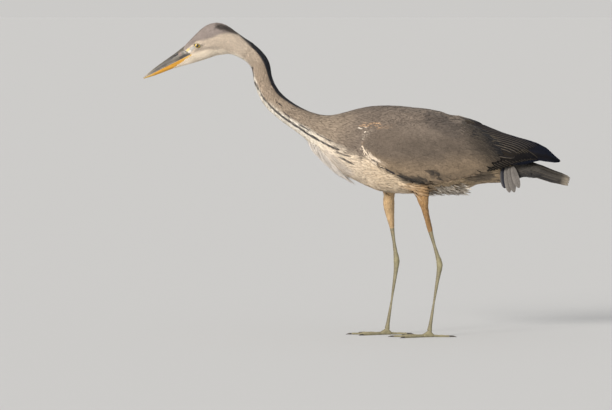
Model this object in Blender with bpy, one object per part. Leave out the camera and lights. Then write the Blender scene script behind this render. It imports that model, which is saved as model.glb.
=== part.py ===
"""Grey heron, life size, standing still in its stalking pose.

The bird faces -X, its left side is -Y, up is +Z and the floor is z = 0.
Sizes are in millimetres here, and the meshes are made in metres.
"""
import math

import bmesh
import bpy
import numpy as np
from mathutils import Matrix, Vector

MM = 0.001
GAP = 0.3                  # clear space between two parts
BODY_SIDES = 24            # sides of a section of head, neck, trunk and tail
LIMB_SIDES = 10            # sides of a section of a leg or toe
SHARP_ANGLE = 50           # degrees from which an edge is shaded sharp
CUTTER_HALF = 60.0         # half the width of a cutter drawn as a side view

# Outline from bill tip to tail root: upper edge x, z, lower edge x, z, and width
BODY_LINE = {
    "bill tip": (-470.6, 568.3, -469.4, 565.8, 3.0),
    "bill point": (-450.4, 585.6, -443.6, 573.4, 8.0),
    "bill middle": (-421.4, 606.6, -410.6, 586.2, 13.0),
    "bill base": (-380.9, 636.9, -361.0, 600.3, 25.0),
    "eyes": (-353.7, 665.0, -325.5, 611.3, 38.0),
    "brow": (-332.8, 682.7, -309.7, 617.0, 42.0),
    "crown": (-309.0, 689.3, -297.0, 618.8, 43.0),
    "hind crown": (-288.0, 684.0, -287.0, 620.3, 41.0),
    "nape": (-266.0, 668.8, -276.0, 619.4, 37.0),
    "throat": (-248.0, 656.0, -263.5, 614.6, 34.0),
    "neck top": (-221.6, 638.3, -246.5, 604.8, 31.0),
    "neck bend": (-193.6, 605.1, -231.8, 586.5, 30.0),
    "neck middle": (-185.9, 566.7, -226.5, 554.3, 30.0),
    "neck lower bend": (-171.3, 539.4, -208.7, 512.6, 32.0),
    "neck slope": (-151.1, 520.6, -181.9, 484.4, 35.0),
    "neck low": (-120.0, 501.2, -147.0, 457.8, 39.0),
    "neck root": (-91.0, 489.8, -119.0, 437.2, 46.0),
    "crop": (-62.0, 485.8, -95.0, 414.0, 58.0),
    "shoulder": (-33.0, 491.0, -71.0, 389.0, 80.0),
    "breast": (-3.0, 499.5, -40.0, 360.4, 102.0),
    "chest": (31.0, 506.0, -0.5, 340.5, 121.0),
    "trunk front": (75.0, 507.5, 47.0, 319.0, 135.0),
    "trunk middle": (121.0, 503.5, 111.0, 312.6, 136.0),
    "trunk rear": (184.0, 494.5, 178.0, 317.0, 126.0),
    "loins": (238.0, 470.0, 230.0, 317.5, 106.0),
    "rump": (276.0, 446.0, 263.0, 333.5, 84.0),
    "vent": (316.0, 419.0, 303.0, 336.5, 60.0),
    "tail root": (344.0, 395.0, 340.0, 340.0, 38.0),
}
KEEL = 0.13                # how far the trunk is wider above than below
KEEL_DEPTHS = (60.0, 150.0)    # the keel fades in between these depths

# Tail beyond its root: the same, and how far its sides fall below its middle
TAIL_LINE = (
    (392.0, 381.0, 392.0, 362.0, 54.0, 26.0),
    (436.0, 363.0, 434.0, 353.5, 66.0, 24.0),
    (463.0, 353.0, 461.5, 348.0, 72.0, 23.5),
    (470.5, 347.5, 469.5, 344.5, 66.0, 21.0),
)

# Folded wing, wrist to tip: top x, z, y, bottom x, z, y, and y of the bulge between
WING_LINE = (
    (-1.0, 449.0, 50.0, -5.0, 425.0, 51.0, 60.0),
    (19.0, 460.0, 54.0, 15.0, 398.0, 60.0, 69.0),
    (61.0, 473.0, 53.0, 59.0, 365.0, 61.0, 77.0),
    (116.0, 482.0, 44.0, 112.0, 345.0, 58.0, 80.0),
    (182.0, 489.0, 20.0, 178.0, 339.0, 56.0, 78.0),
    (244.0, 481.0, 6.0, 248.0, 354.0, 50.0, 66.0),
    (292.0, 458.5, 3.0, 307.5, 366.0, 40.0, 50.0),
    (340.5, 440.0, 2.5, 360.0, 377.0, 30.0, 34.0),
    (391.0, 426.0, 2.5, 406.5, 381.0, 20.0, 22.0),
    (429.0, 406.5, 2.5, 437.0, 380.5, 12.0, 13.0),
    (455.0, 381.0, 2.5, 456.0, 377.0, 6.0, 6.0),
)
WING_THICK = (14.0, 2.4)   # at the wrist and at the tip
FLIGHT_FROM = 5.55         # row of WING_LINE where the flight feathers begin
WING_ARC = 9               # points down the outside of a wing section
WING_SHOULDER = 0.5        # powers of the sine that rounds a section: blunt above,
WING_EDGE = 0.8            # and finer below
WING_RIM = 3.0             # thickness of a section's upper and lower edge
WING_TUCK = 0.8            # share of the thickness by which the top's inside is lower

# Bill: edges in the side view, x and z
GAPE = ((-480.0, 562.3), (-363.0, 620.9))
FORELOCK = ((-379.0, 650.0), (-379.0, 637.0), (-382.0, 628.0), (-366.0, 619.4))
CHIN = ((-409.8, 583.0), (-409.8, 586.3), (-366.0, 610.5), (-363.0, 620.9))
BILL_CUT_TOP = 650.0       # the cutters' reach above and below the bill
BILL_CUT_LOW = 543.0

EYE_CENTRE = (-351.0, 12.2, 638.5)
EYE_RADIUS = 8.5
EYE_SIDES = (14, 8)        # round the ball and from pole to pole

# Long feathers hanging from the crop: upper edge x, z, lower edge x, z, and width
PLUME_LINE = (
    (-62.0, 440.0, -86.0, 424.0, 40.0),
    (-52.0, 410.0, -76.0, 392.0, 38.0),
    (-34.0, 382.0, -54.0, 361.0, 30.0),
    (-16.0, 353.5, -26.0, 340.5, 16.0),
    (-0.5, 331.5, -1.5, 329.0, 4.0),
)

# Three feathers that slip from under the left wing: root x, tip x, tip z
LOOSE_ROOT_Z = 372.0
LOOSE_FEATHERS = ((324.0, 326.0, 324.0), (336.0, 343.0, 313.5), (347.0, 355.0, 326.0))
LOOSE_WIDTH = 17.0
LOOSE_THICK = 2.6
LOOSE_Y = -26.5
LOOSE_SWAY = 2.0           # each one's tip is this much further out than the last one's
LOOSE_SIDES = 8
BLADE = ((0.0, 0.55), (0.3, 0.85), (0.6, 1.0), (0.82, 0.85), (0.94, 0.5), (1.0, 0.15))

# Legs: x, y, z, depth fore and aft, width; y is outward
LEG_LINES = {
    "left": (
        (112.0, 34.0, 352.0, 66.0, 34.0),
        (136.5, 36.0, 329.0, 43.0, 28.0),
        (141.5, 37.0, 317.0, 36.0, 24.0),
        (144.5, 38.0, 298.0, 24.5, 19.0),
        (147.5, 38.0, 283.0, 16.0, 15.0),
        (158.5, 38.0, 238.0, 12.5, 11.5),
        (161.5, 38.0, 226.0, 9.5, 9.0),
        (175.5, 38.0, 178.0, 9.5, 9.0),
        (180.5, 38.0, 159.0, 15.0, 12.5),
        (179.0, 38.0, 144.0, 11.0, 9.5),
        (175.5, 38.0, 124.0, 8.4, 7.4),
        (160.0, 38.0, 26.0, 8.4, 7.4),
        (158.0, 38.0, 14.0, 11.0, 9.5),
    ),
    "right": (
        (64.0, 34.0, 346.0, 50.0, 34.0),
        (70.5, 36.0, 317.0, 28.5, 27.0),
        (70.3, 37.0, 303.0, 26.5, 24.0),
        (70.3, 38.0, 290.0, 26.0, 21.0),
        (71.0, 38.0, 277.0, 23.0, 18.0),
        (76.5, 38.0, 242.0, 12.5, 11.5),
        (78.0, 38.0, 230.0, 9.5, 9.0),
        (85.0, 38.0, 182.0, 9.5, 9.0),
        (87.5, 38.0, 163.0, 15.0, 12.5),
        (86.5, 38.0, 148.0, 11.0, 9.5),
        (84.0, 38.0, 128.0, 8.4, 7.4),
        (68.5, 38.0, 26.0, 8.4, 7.4),
        (66.5, 38.0, 14.0, 11.0, 9.5),
    ),
}
SHANK_FROM = 5.5           # rows of a leg line where the bare shin and the foot's
TARSUS_FROM = 8.0          # long bone begin

# Toes: turn outward in degrees, length without claw, claw length
TOES = {
    "middle": (0.0, 78.0, 13.0),
    "inner": (-29.0, 60.0, 12.0),
    "outer": (31.0, 64.0, 12.0),
    "hind": (176.0, 44.0, 16.0),
}
TOE_WIDTHS = (7.0, 5.0)    # at the foot and at the claw
TOE_HEIGHT = 6.0
TOE_TAPER = 0.2            # share of the height lost on the way to the claw
TOE_LIFT = 0.44            # height of a toe's middle, as a share of its own height
TOE_JOINTS = 5
TOE_WAIST = 0.88           # size between two joints
CLAW_LINE = ((0.0, 0.8), (0.5, 0.62), (1.0, 0.14))    # along it, and share of the toe's width
CLAW_ARCH = 0.5            # rise of a claw's middle
CLAW_LIFT = 0.45           # height of its middle, and its width, as shares of its own height
CLAW_FLAT = 0.8
FOOT_REACH = {"middle": 14.0, "inner": 13.0, "outer": 13.0, "hind": 8.0}
FOOT_SIDES = (8, 6)
ANKLE_BALL = 6.2

COLOURS = {
    "plumage_grey": ((0.36, 0.33, 0.31), 0.8),
    "plumage_pale": ((0.72, 0.64, 0.54), 0.8),
    "flight_dark": ((0.075, 0.08, 0.10), 0.6),
    "bill_slate": ((0.22, 0.24, 0.28), 0.45),
    "bill_yellow": ((0.75, 0.42, 0.12), 0.45),
    "eye_yellow": ((0.85, 0.65, 0.08), 0.08),
    "leg_skin": ((0.28, 0.25, 0.17), 0.6),
    "claw_horn": ((0.06, 0.05, 0.045), 0.4),
}


def clear_scene():
    for thing in list(bpy.data.objects):
        bpy.data.objects.remove(thing, do_unlink=True)


def new_collection(name):
    collection = bpy.data.collections.new(name)
    bpy.context.scene.collection.children.link(collection)
    return collection


def material(name, colour, roughness):
    made = bpy.data.materials.new(name)
    made.use_nodes = True
    shader = made.node_tree.nodes["Principled BSDF"]
    shader.inputs["Base Color"].default_value = (*colour, 1.0)
    shader.inputs["Roughness"].default_value = roughness
    shader.inputs["Metallic"].default_value = 0.0
    made.diffuse_color = (*colour, 1.0)
    return made


def place(name, bm, collection, skin=None):
    """Turn a bmesh into a named object with its material."""
    bmesh.ops.recalc_face_normals(bm, faces=bm.faces)
    mesh = bpy.data.meshes.new(name)
    bm.to_mesh(mesh)
    bm.free()
    mesh.shade_smooth()
    mesh.set_sharp_from_angle(angle=math.radians(SHARP_ANGLE))
    made = bpy.data.objects.new(name, mesh)
    collection.objects.link(made)
    if skin:
        mesh.materials.append(skin)
    return made


def mark_cutter(cutter):
    cutter.hide_render = True
    cutter.display_type = "WIRE"
    return cutter


def boolean(target, cutter, operation="DIFFERENCE"):
    cut = target.modifiers.new(f"{operation.lower()} {cutter.name}", "BOOLEAN")
    cut.operation = operation
    cut.solver = "EXACT"
    cut.object = cutter


def settle(target):
    """Apply the object's modifiers, so that it can itself be a cutter."""
    seen = target.evaluated_get(bpy.context.evaluated_depsgraph_get())
    mesh = bpy.data.meshes.new_from_object(seen)
    target.modifiers.clear()
    target.data = mesh
    mesh.name = target.name


def grown(source, collection, by=GAP):
    """A cutter that stands the gap proud of a finished part."""
    bm = bmesh.new()
    bm.from_mesh(source.data)
    bm.normal_update()
    for vert, normal in [(v, v.normal.copy()) for v in bm.verts]:
        vert.co += normal * by * MM
    return mark_cutter(place(f"{source.name}_grown", bm, collection))


def smooth_through(rows):
    """A function of the row number, whole or between, that runs smoothly through the rows."""
    rows = np.array(rows, float)
    steps = np.linalg.norm(np.diff(rows[:, :3], axis=0), axis=1)
    along = np.concatenate(([0.0], np.cumsum(steps)))
    slopes = np.gradient(rows, along, axis=0)

    def at(row):
        i = min(max(int(row), 0), len(rows) - 2)
        t = row - i
        span = along[i + 1] - along[i]
        from_start = rows[i] * (2 * t**3 - 3 * t**2 + 1) + slopes[i] * span * (t**3 - 2 * t**2 + t)
        from_end = rows[i + 1] * (3 * t**2 - 2 * t**3) + slopes[i + 1] * span * (t**3 - t**2)
        return from_start + from_end

    return at


def row_numbers(first, last, per_row):
    count = max(int(round((last - first) * per_row)), 1)
    return [first + (last - first) * i / count for i in range(count + 1)]


def add_loft(bm, rings):
    """Skin the rings of points one after the other, with flat ends."""
    loops = [[bm.verts.new(Vector(p) * MM) for p in ring] for ring in rings]
    for ahead, behind in zip(loops, loops[1:]):
        for i in range(len(ahead)):
            j = (i + 1) % len(ahead)
            bm.faces.new((ahead[i], ahead[j], behind[j], behind[i]))
    bm.faces.new(loops[0])
    bm.faces.new(reversed(loops[-1]))


def loft(name, rings, collection, skin=None):
    bm = bmesh.new()
    add_loft(bm, rings)
    return place(name, bm, collection, skin)


def prism(name, outline, collection):
    """A side-view outline of x and z, drawn out to both sides: always a cutter."""
    bm = bmesh.new()
    add_loft(bm, [[(x, y, z) for x, z in outline] for y in (-CUTTER_HALF, CUTTER_HALF)])
    return mark_cutter(place(name, bm, collection))


def body_curve():
    rows = [(*row, 0.0) for row in BODY_LINE.values()]
    return smooth_through(rows + list(TAIL_LINE))


def body_row(name):
    return float(list(BODY_LINE).index(name))


def body_ring(curve, row, shift=0.0):
    """A section between the upper and the lower edge, moved along the body by shift."""
    top_x, top_z, low_x, low_z, width, fall = curve(row)
    middle = np.array((top_x + low_x, top_z + low_z)) / 2
    depth = math.hypot(top_x - low_x, top_z - low_z)
    across = np.array((top_x - low_x, top_z - low_z)) / depth
    along = np.array((across[1], -across[0]))
    fade = np.clip((depth - KEEL_DEPTHS[0]) / (KEEL_DEPTHS[1] - KEEL_DEPTHS[0]), 0.0, 1.0)
    ring = []
    for i in range(BODY_SIDES):
        angle = 2 * math.pi * i / BODY_SIDES
        rise = depth / 2 * math.cos(angle) - fall * math.sin(angle) ** 2
        side = width / 2 * math.sin(angle) * (1 + KEEL * fade * math.cos(angle))
        x, z = middle + along * shift + across * rise
        ring.append((x, side, z))
    return ring


def body_length(curve, first, last, per_row, open_ends=(True, True)):
    """Rings of a length of the body, half a gap short of each end that meets another part."""
    rings = []
    for row in row_numbers(first, last, per_row):
        shift = 0.0
        if row == first and open_ends[0]:
            shift = GAP / 2
        if row == last and open_ends[1]:
            shift = -GAP / 2
        rings.append(body_ring(curve, row, shift))
    return rings


def gape_at(x, shift=0.0):
    """A point on the gape, or this much above it."""
    (x0, z0), (x1, z1) = GAPE
    return (x, z0 + (z1 - z0) * (x - x0) / (x1 - x0) + shift)


def bill_cutters(cutters):
    """Side views of the upper bill, the lower bill, and both with a gap round them."""
    front = GAPE[0][0]
    (chin_x, _), *chin_turns, (chin_end, _) = CHIN
    *forelock_turns, (fore_x, fore_z) = FORELOCK
    above = [gape_at(front, GAP / 2), (front, BILL_CUT_TOP), *forelock_turns]
    above.append(gape_at(fore_x, GAP / 2))
    below = [gape_at(front, -GAP / 2), (front, BILL_CUT_LOW), (chin_x, BILL_CUT_LOW)]
    below += [*chin_turns, gape_at(chin_end, -GAP / 2)]
    both = [(front, BILL_CUT_LOW), (chin_x + GAP, BILL_CUT_LOW)]
    both += [(x + GAP, z - GAP) for x, z in chin_turns]
    both += [(chin_end + GAP, CHIN[-1][1]), (fore_x + GAP, fore_z + 2 * GAP)]
    both += [(x + GAP, z + GAP) for x, z in reversed(forelock_turns)]
    both.append((front, BILL_CUT_TOP + GAP))
    outlines = {"upper_bill_side": above, "lower_bill_side": below, "bill_from_head": both}
    return [prism(name, outline, cutters) for name, outline in outlines.items()]


def make_head(curve, parts, cutters, skins):
    """Head and bill as one loft, parted at the feather edges and along the gape."""
    rings = body_length(curve, 0.0, body_row("nape"), 2, (False, True))
    head = loft("head", rings, parts, skins["plumage_grey"])
    upper = loft("bill_upper", rings, parts, skins["bill_slate"])
    lower = loft("bill_lower", rings, parts, skins["bill_yellow"])
    above, below, both = bill_cutters(cutters)
    boolean(upper, above, "INTERSECT")
    boolean(lower, below, "INTERSECT")
    boolean(head, both)
    for side, sign in (("left", -1), ("right", 1)):
        x, y, z = EYE_CENTRE
        socket = ball(f"socket_{side}", (x, sign * y, z), EYE_RADIUS + GAP, cutters)
        boolean(head, mark_cutter(socket))
        ball(f"eye_{side}", (x, sign * y, z), EYE_RADIUS, parts, skins["eye_yellow"])


def ball(name, centre, radius, collection, skin=None):
    bm = bmesh.new()
    around, down = EYE_SIDES
    bmesh.ops.create_uvsphere(bm, u_segments=around, v_segments=down, radius=radius * MM)
    bmesh.ops.translate(bm, verts=bm.verts, vec=Vector(centre) * MM)
    return place(name, bm, collection, skin)


def make_neck_and_trunk(curve, parts, skins):
    """Three lengths of neck, the trunk and the tail."""
    cuts = (
        ("neck_upper", "nape", "neck middle", 3),
        ("neck_middle", "neck middle", "neck low", 2),
        ("neck_lower", "neck low", "shoulder", 3),
        ("trunk", "shoulder", "tail root", 2),
    )
    made = {}
    for name, first, last, per_row in cuts:
        rings = body_length(curve, body_row(first), body_row(last), per_row)
        made[name] = loft(name, rings, parts, skins["plumage_grey"])
    first = body_row("tail root")
    rings = body_length(curve, first, first + len(TAIL_LINE), 2, (True, False))
    made["tail"] = loft("tail", rings, parts, skins["plumage_grey"])
    return made


def wing_ring(curve, row, sign, shift):
    """Outside of the folded wing from its top edge down, then back up its inside."""
    top_x, top_z, top_y, low_x, low_z, low_y, bulge = curve(row)
    share = row / (len(WING_LINE) - 1)
    thick = WING_THICK[0] + (WING_THICK[1] - WING_THICK[0]) * share
    outside, inside = [], []
    for i in range(WING_ARC):
        t = i / (WING_ARC - 1)
        fullness = WING_SHOULDER if t < 0.5 else WING_EDGE
        swell = (bulge - (top_y + low_y) / 2) * math.sin(math.pi * t) ** fullness
        x = top_x + (low_x - top_x) * t + shift
        y = top_y + (low_y - top_y) * t + swell
        z = top_z + (low_z - top_z) * t
        outside.append((x, sign * y, z))
        edge = min(2 * t, 2 - 2 * t, 1.0)
        depth = min(thick, WING_RIM) + max(thick - WING_RIM, 0.0) * math.sqrt(edge)
        inner_z = z - depth * (1 - t) * WING_TUCK
        inside.append((x, sign * max(y - depth, GAP), inner_z))
    return outside + inside[::-1]


def make_wings(parts, cutters, skins, trunk):
    """Each folded wing lies on the trunk, its flight feathers a part of their own."""
    curve = smooth_through(WING_LINE)
    last = len(WING_LINE) - 1
    lengths = (
        ("wing", 0.0, FLIGHT_FROM, "plumage_grey"),
        ("flight", FLIGHT_FROM, float(last), "flight_dark"),
    )
    body = grown(trunk, cutters)
    for side, sign in (("left", -1), ("right", 1)):
        for name, first, end, skin in lengths:
            rings = []
            for row in row_numbers(first, end, 2):
                shift = GAP / 2 if row == first and first else 0.0
                shift = -GAP / 2 if row == end and end < last else shift
                rings.append(wing_ring(curve, row, sign, shift))
            made = loft(f"{name}_{side}", rings, parts, skins[skin])
            boolean(made, body)
            settle(made)
    return body


def make_plumes(parts, cutters, skins, body, neck):
    """Long feathers that hang from the crop before the breast."""
    curve = smooth_through([(*row, 0.0) for row in PLUME_LINE])
    rings = [body_ring(curve, row) for row in row_numbers(0.0, len(PLUME_LINE) - 1.0, 2)]
    made = loft("breast_plumes", rings, parts, skins["plumage_pale"])
    boolean(made, body)
    boolean(made, grown(neck, cutters))


def blade_rings(root, tip, y, sway):
    """Sections of one round-tipped feather, flat in the side view."""
    along = np.array((tip[0] - root[0], tip[1] - root[1]))
    across = np.array((-along[1], along[0])) / np.linalg.norm(along)
    rings = []
    for t, share in BLADE:
        centre = np.array(root) + along * t
        ring = []
        for i in range(LOOSE_SIDES):
            angle = 2 * math.pi * i / LOOSE_SIDES
            px, pz = centre + across * math.cos(angle) * LOOSE_WIDTH / 2 * share
            ring.append((px, y + sway * t + math.sin(angle) * LOOSE_THICK / 2, pz))
        rings.append(ring)
    return rings


def make_loose_feathers(parts, cutters, skins, body):
    made = None
    for number, (root_x, tip_x, tip_z) in enumerate(LOOSE_FEATHERS):
        sway = -LOOSE_SWAY * number
        rings = blade_rings((root_x, LOOSE_ROOT_Z), (tip_x, tip_z), LOOSE_Y, sway)
        if made is None:
            made = loft("loose_feathers", rings, parts, skins["plumage_grey"])
            continue
        blade = mark_cutter(loft(f"loose_blade_{number}", rings, cutters))
        boolean(made, blade, "UNION")
    settle(made)
    boolean(made, body)
    flight = bpy.data.objects["flight_left"]
    boolean(made, grown(flight, cutters))


def limb_ring(curve, row, sign, shift):
    """A section square to a leg's middle line, from its rear point round."""
    x, y, z, depth, width = curve(row)
    step = (curve(row + 0.01) - curve(row - 0.01))[:3] * (1, sign, 1)
    along = Vector(step).normalized()
    fore = (Vector((1, 0, 0)) - along * along.x).normalized()
    side = along.cross(fore)
    centre = Vector((x, sign * y, z)) + along * shift
    ring = []
    for i in range(LIMB_SIDES):
        angle = 2 * math.pi * i / LIMB_SIDES
        point = centre + fore * math.cos(angle) * depth / 2 + side * math.sin(angle) * width / 2
        ring.append(point)
    return ring


def make_leg(side, sign, parts, skins, body):
    curve = smooth_through(LEG_LINES[side])
    last = float(len(LEG_LINES[side]) - 1)
    lengths = (
        ("thigh", 0.0, SHANK_FROM, "plumage_pale"),
        ("shank", SHANK_FROM, TARSUS_FROM, "leg_skin"),
        ("tarsus", TARSUS_FROM, last, "leg_skin"),
    )
    for name, first, end, skin in lengths:
        rings = []
        for row in row_numbers(first, end, 2):
            shift = GAP / 2 if row == first else 0.0
            shift = -GAP / 2 if row == end else shift
            rings.append(limb_ring(curve, row, sign, shift))
        made = loft(f"{name}_{side}", rings, parts, skins[skin])
        if name == "thigh":
            boolean(made, body)


def on_floor(point):
    """Nothing of a foot reaches below the floor."""
    return Vector((point[0], point[1], max(point[2], 0.0)))


def toe_direction(turn, sign):
    angle = math.radians(turn)
    return Vector((-math.cos(angle), sign * math.sin(angle), 0.0))


def make_foot(side, sign, parts, skins):
    """The foot's pad is the hull round the ankle ball and the toes' roots."""
    x, y, z = LEG_LINES[side][-1][:3]
    centre = Vector((x, sign * y, 0.0))
    bm = bmesh.new()
    balls = [(Vector((0, 0, z - ANKLE_BALL - GAP)), ANKLE_BALL)]
    for toe, reach in FOOT_REACH.items():
        root = toe_direction(TOES[toe][0], sign) * reach
        balls.append((root + Vector((0, 0, TOE_HEIGHT / 2)), TOE_WIDTHS[0] / 2))
    around, down = FOOT_SIDES
    for offset, radius in balls:
        shift = Matrix.Translation((centre + offset) * MM)
        bmesh.ops.create_uvsphere(
            bm, u_segments=around, v_segments=down, radius=radius * MM, matrix=shift
        )
    for vert in bm.verts:
        vert.co = on_floor(vert.co)
    bmesh.ops.delete(bm, geom=bm.edges[:] + bm.faces[:], context="EDGES_FACES")
    bmesh.ops.remove_doubles(bm, verts=bm.verts, dist=GAP * MM)
    hull = bmesh.ops.convex_hull(bm, input=bm.verts)
    inner = {v for v in hull["geom_interior"] + hull["geom_unused"] if v in set(bm.verts)}
    bmesh.ops.delete(bm, geom=list(inner), context="VERTS")
    place(f"foot_{side}", bm, parts, skins["leg_skin"])
    for toe in TOES:
        make_toe(toe, side, sign, centre, parts, skins)


def toe_ring(centre, direction, distance, width, height, middle):
    across = Vector((-direction.y, direction.x, 0.0))
    ring = []
    for i in range(LIMB_SIDES):
        angle = 2 * math.pi * i / LIMB_SIDES
        lift = Vector((0.0, 0.0, middle + math.sin(angle) * height / 2))
        point = centre + direction * distance + across * math.cos(angle) * width / 2 + lift
        ring.append(on_floor(point))
    return ring


def make_toe(toe, side, sign, centre, parts, skins):
    """A toe flat on the floor, thicker at its joints, with its claw."""
    turn, length, claw = TOES[toe]
    direction = toe_direction(turn, sign)
    start = FOOT_REACH[toe] + TOE_WIDTHS[0] / 2 + GAP
    rings = []
    for i in range(TOE_JOINTS):
        t = i / (TOE_JOINTS - 1)
        swell = TOE_WAIST if i % 2 else 1.0
        width = (TOE_WIDTHS[0] + (TOE_WIDTHS[1] - TOE_WIDTHS[0]) * t) * swell
        height = TOE_HEIGHT * (1 - TOE_TAPER * t) * swell
        distance = start + (length - start) * t
        rings.append(toe_ring(centre, direction, distance, width, height, height * TOE_LIFT))
    loft(f"toe_{side}_{toe}", rings, parts, skins["leg_skin"])
    rings = []
    for t, share in CLAW_LINE:
        size = TOE_WIDTHS[1] * share
        distance = length + GAP + claw * t
        middle = size * CLAW_LIFT + CLAW_ARCH * math.sin(math.pi * t)
        rings.append(toe_ring(centre, direction, distance, size * CLAW_FLAT, size, middle))
    loft(f"claw_{side}_{toe}", rings, parts, skins["claw_horn"])


def build():
    clear_scene()
    parts = new_collection("grey_heron")
    cutters = new_collection("cutters")
    skins = {name: material(name, *look) for name, look in COLOURS.items()}
    curve = body_curve()
    make_head(curve, parts, cutters, skins)
    torso = make_neck_and_trunk(curve, parts, skins)
    body = make_wings(parts, cutters, skins, torso["trunk"])
    make_plumes(parts, cutters, skins, body, torso["neck_lower"])
    make_loose_feathers(parts, cutters, skins, body)
    for side, sign in (("left", -1), ("right", 1)):
        make_leg(side, sign, parts, skins, body)
        make_foot(side, sign, parts, skins)


build()
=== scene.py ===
import math

import bmesh
import bpy
import numpy as np
from mathutils import Matrix, Vector
from mathutils.bvhtree import BVHTree


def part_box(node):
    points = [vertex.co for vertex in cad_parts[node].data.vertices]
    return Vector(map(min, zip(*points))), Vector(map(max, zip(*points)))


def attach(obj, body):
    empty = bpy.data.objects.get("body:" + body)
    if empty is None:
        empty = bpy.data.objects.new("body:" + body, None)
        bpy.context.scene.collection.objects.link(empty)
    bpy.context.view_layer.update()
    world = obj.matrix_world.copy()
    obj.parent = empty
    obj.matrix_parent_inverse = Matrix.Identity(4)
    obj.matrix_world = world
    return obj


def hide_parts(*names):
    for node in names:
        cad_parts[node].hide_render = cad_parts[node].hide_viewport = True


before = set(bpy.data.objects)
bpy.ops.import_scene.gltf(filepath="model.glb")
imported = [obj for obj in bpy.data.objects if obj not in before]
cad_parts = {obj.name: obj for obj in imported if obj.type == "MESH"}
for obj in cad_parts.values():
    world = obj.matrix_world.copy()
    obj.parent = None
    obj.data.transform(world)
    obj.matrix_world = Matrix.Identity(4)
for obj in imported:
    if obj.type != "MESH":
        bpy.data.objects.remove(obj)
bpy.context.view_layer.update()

rng = np.random.default_rng(11)
mm = 0.001
sides = {"Left": -1, "Right": 1}

# linear colours of plumage, horn and skin
tints = {
    "crown": (0.288, 0.242, 0.222), "cheek": (0.61, 0.51, 0.41), "chin": (0.84, 0.72, 0.58),
    "blackBlue": (0.014, 0.016, 0.024), "hindCrown": (0.010, 0.008, 0.006),
    "neck": (0.40, 0.315, 0.24), "neckLow": (0.30, 0.24, 0.185), "white": (0.92, 0.84, 0.73),
    "cream": (0.82, 0.69, 0.55), "belly": (0.76, 0.61, 0.44), "vent": (0.48, 0.36, 0.23),
    "mantle": (0.200, 0.161, 0.131), "scapular": (0.080, 0.066, 0.058), "covert": (0.124, 0.098, 0.078),
    "covertWarm": (0.33, 0.245, 0.162), "rufous": (0.62, 0.40, 0.24), "flank": (0.018, 0.018, 0.020),
    "secondary": (0.024, 0.020, 0.016), "fringe": (0.23, 0.195, 0.145), "flight": (0.0035, 0.0045, 0.008),
    "blueGrey": (0.008, 0.011, 0.022), "tail": (0.064, 0.058, 0.052), "tailTip": (0.39, 0.34, 0.27),
    "thigh": (0.62, 0.42, 0.225), "plume": (0.52, 0.48, 0.445),
}
tints = {name: np.array(colour) for name, colour in tints.items()}


# ---- shapes taken from the frame

surfaceForms = {  # voxel size in metres, and rounds of smoothing
    "whole": (0.002, 3), "body": (0.0024, 8), "face": (0.001, 3), "wing": (0.0015, 4), "tail": (0.0015, 3),
    "root": (0.002, 5), "skin": (0.003, 5), "bill": (0.00045, 2), "leg": (0.0008, 3),
}
lineSizes = {"start": 0.006, "drop": 0.020, "end": 0.010, "step": 0.004, "most": 400, "reach": 6, "hold": 4,
             "window": 13, "chunk": 20000}
fleshNodes = ["head", "neck_upper", "neck_middle", "neck_lower", "trunk"]
billNodes = ["bill_upper", "bill_lower"]
thighNodes = ["thigh_left", "thigh_right"]
wingNodes = {"Left": ["wing_left", "flight_left"], "Right": ["wing_right", "flight_right"]}


def nodeOf(part, side):
    return part + "_" + side.lower()


def joinedNodes(names):  # copies of CAD nodes in one bmesh, their loose triangles merged
    bm = bmesh.new()
    for name in names:
        bm.from_mesh(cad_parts[name].data)
    bmesh.ops.remove_doubles(bm, verts=bm.verts, dist=0.02 * mm)
    return bm


def remeshed(names, form):  # one even skin of small faces over these nodes
    voxel, smoothing = surfaceForms[form]
    work = bpy.data.objects.new("work", bpy.data.meshes.new("work"))
    bm = joinedNodes(names)
    bm.to_mesh(work.data)
    bm.free()
    bpy.context.scene.collection.objects.link(work)
    shell = work.modifiers.new("shell", "REMESH")
    shell.mode = "VOXEL"
    shell.voxel_size = voxel
    evaluated = work.evaluated_get(bpy.context.evaluated_depsgraph_get())
    result = bmesh.new()
    result.from_mesh(evaluated.data)
    bpy.data.objects.remove(work)
    keepOuterShell(result)
    smooth(result, result.verts, smoothing)
    result.normal_update()
    return result


def keepOuterShell(bm):  # drops the small closed pockets left inside where two nodes meet
    left, shells = set(bm.verts), []
    while left:
        waiting = [left.pop()]
        shell = set(waiting)
        while waiting:
            vert = waiting.pop()
            for edge in vert.link_edges:
                other = edge.other_vert(vert)
                if other in left:
                    left.remove(other)
                    shell.add(other)
                    waiting.append(other)
        shells.append(shell)
    biggest = max(shells, key=len)
    bmesh.ops.delete(bm, geom=[vert for vert in bm.verts if vert not in biggest], context="VERTS")


def smooth(bm, verts, times):
    for _ in range(times):
        bmesh.ops.smooth_vert(bm, verts=verts, factor=0.5, use_axis_x=True, use_axis_y=True, use_axis_z=True)


def surfaceOf(bm):  # for rays and nearest points; the bmesh is used up
    tree = BVHTree.FromBMesh(bm)
    bm.free()
    return tree


def nodeSurface(names):
    return surfaceOf(joinedNodes(names))


def evenSurface(names, form):
    return surfaceOf(remeshed(names, form))


def cast(tree, start, way):  # the place that a ray meets, and the surface's direction there
    return tree.ray_cast(Vector(start), Vector(way))[:2]


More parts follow.
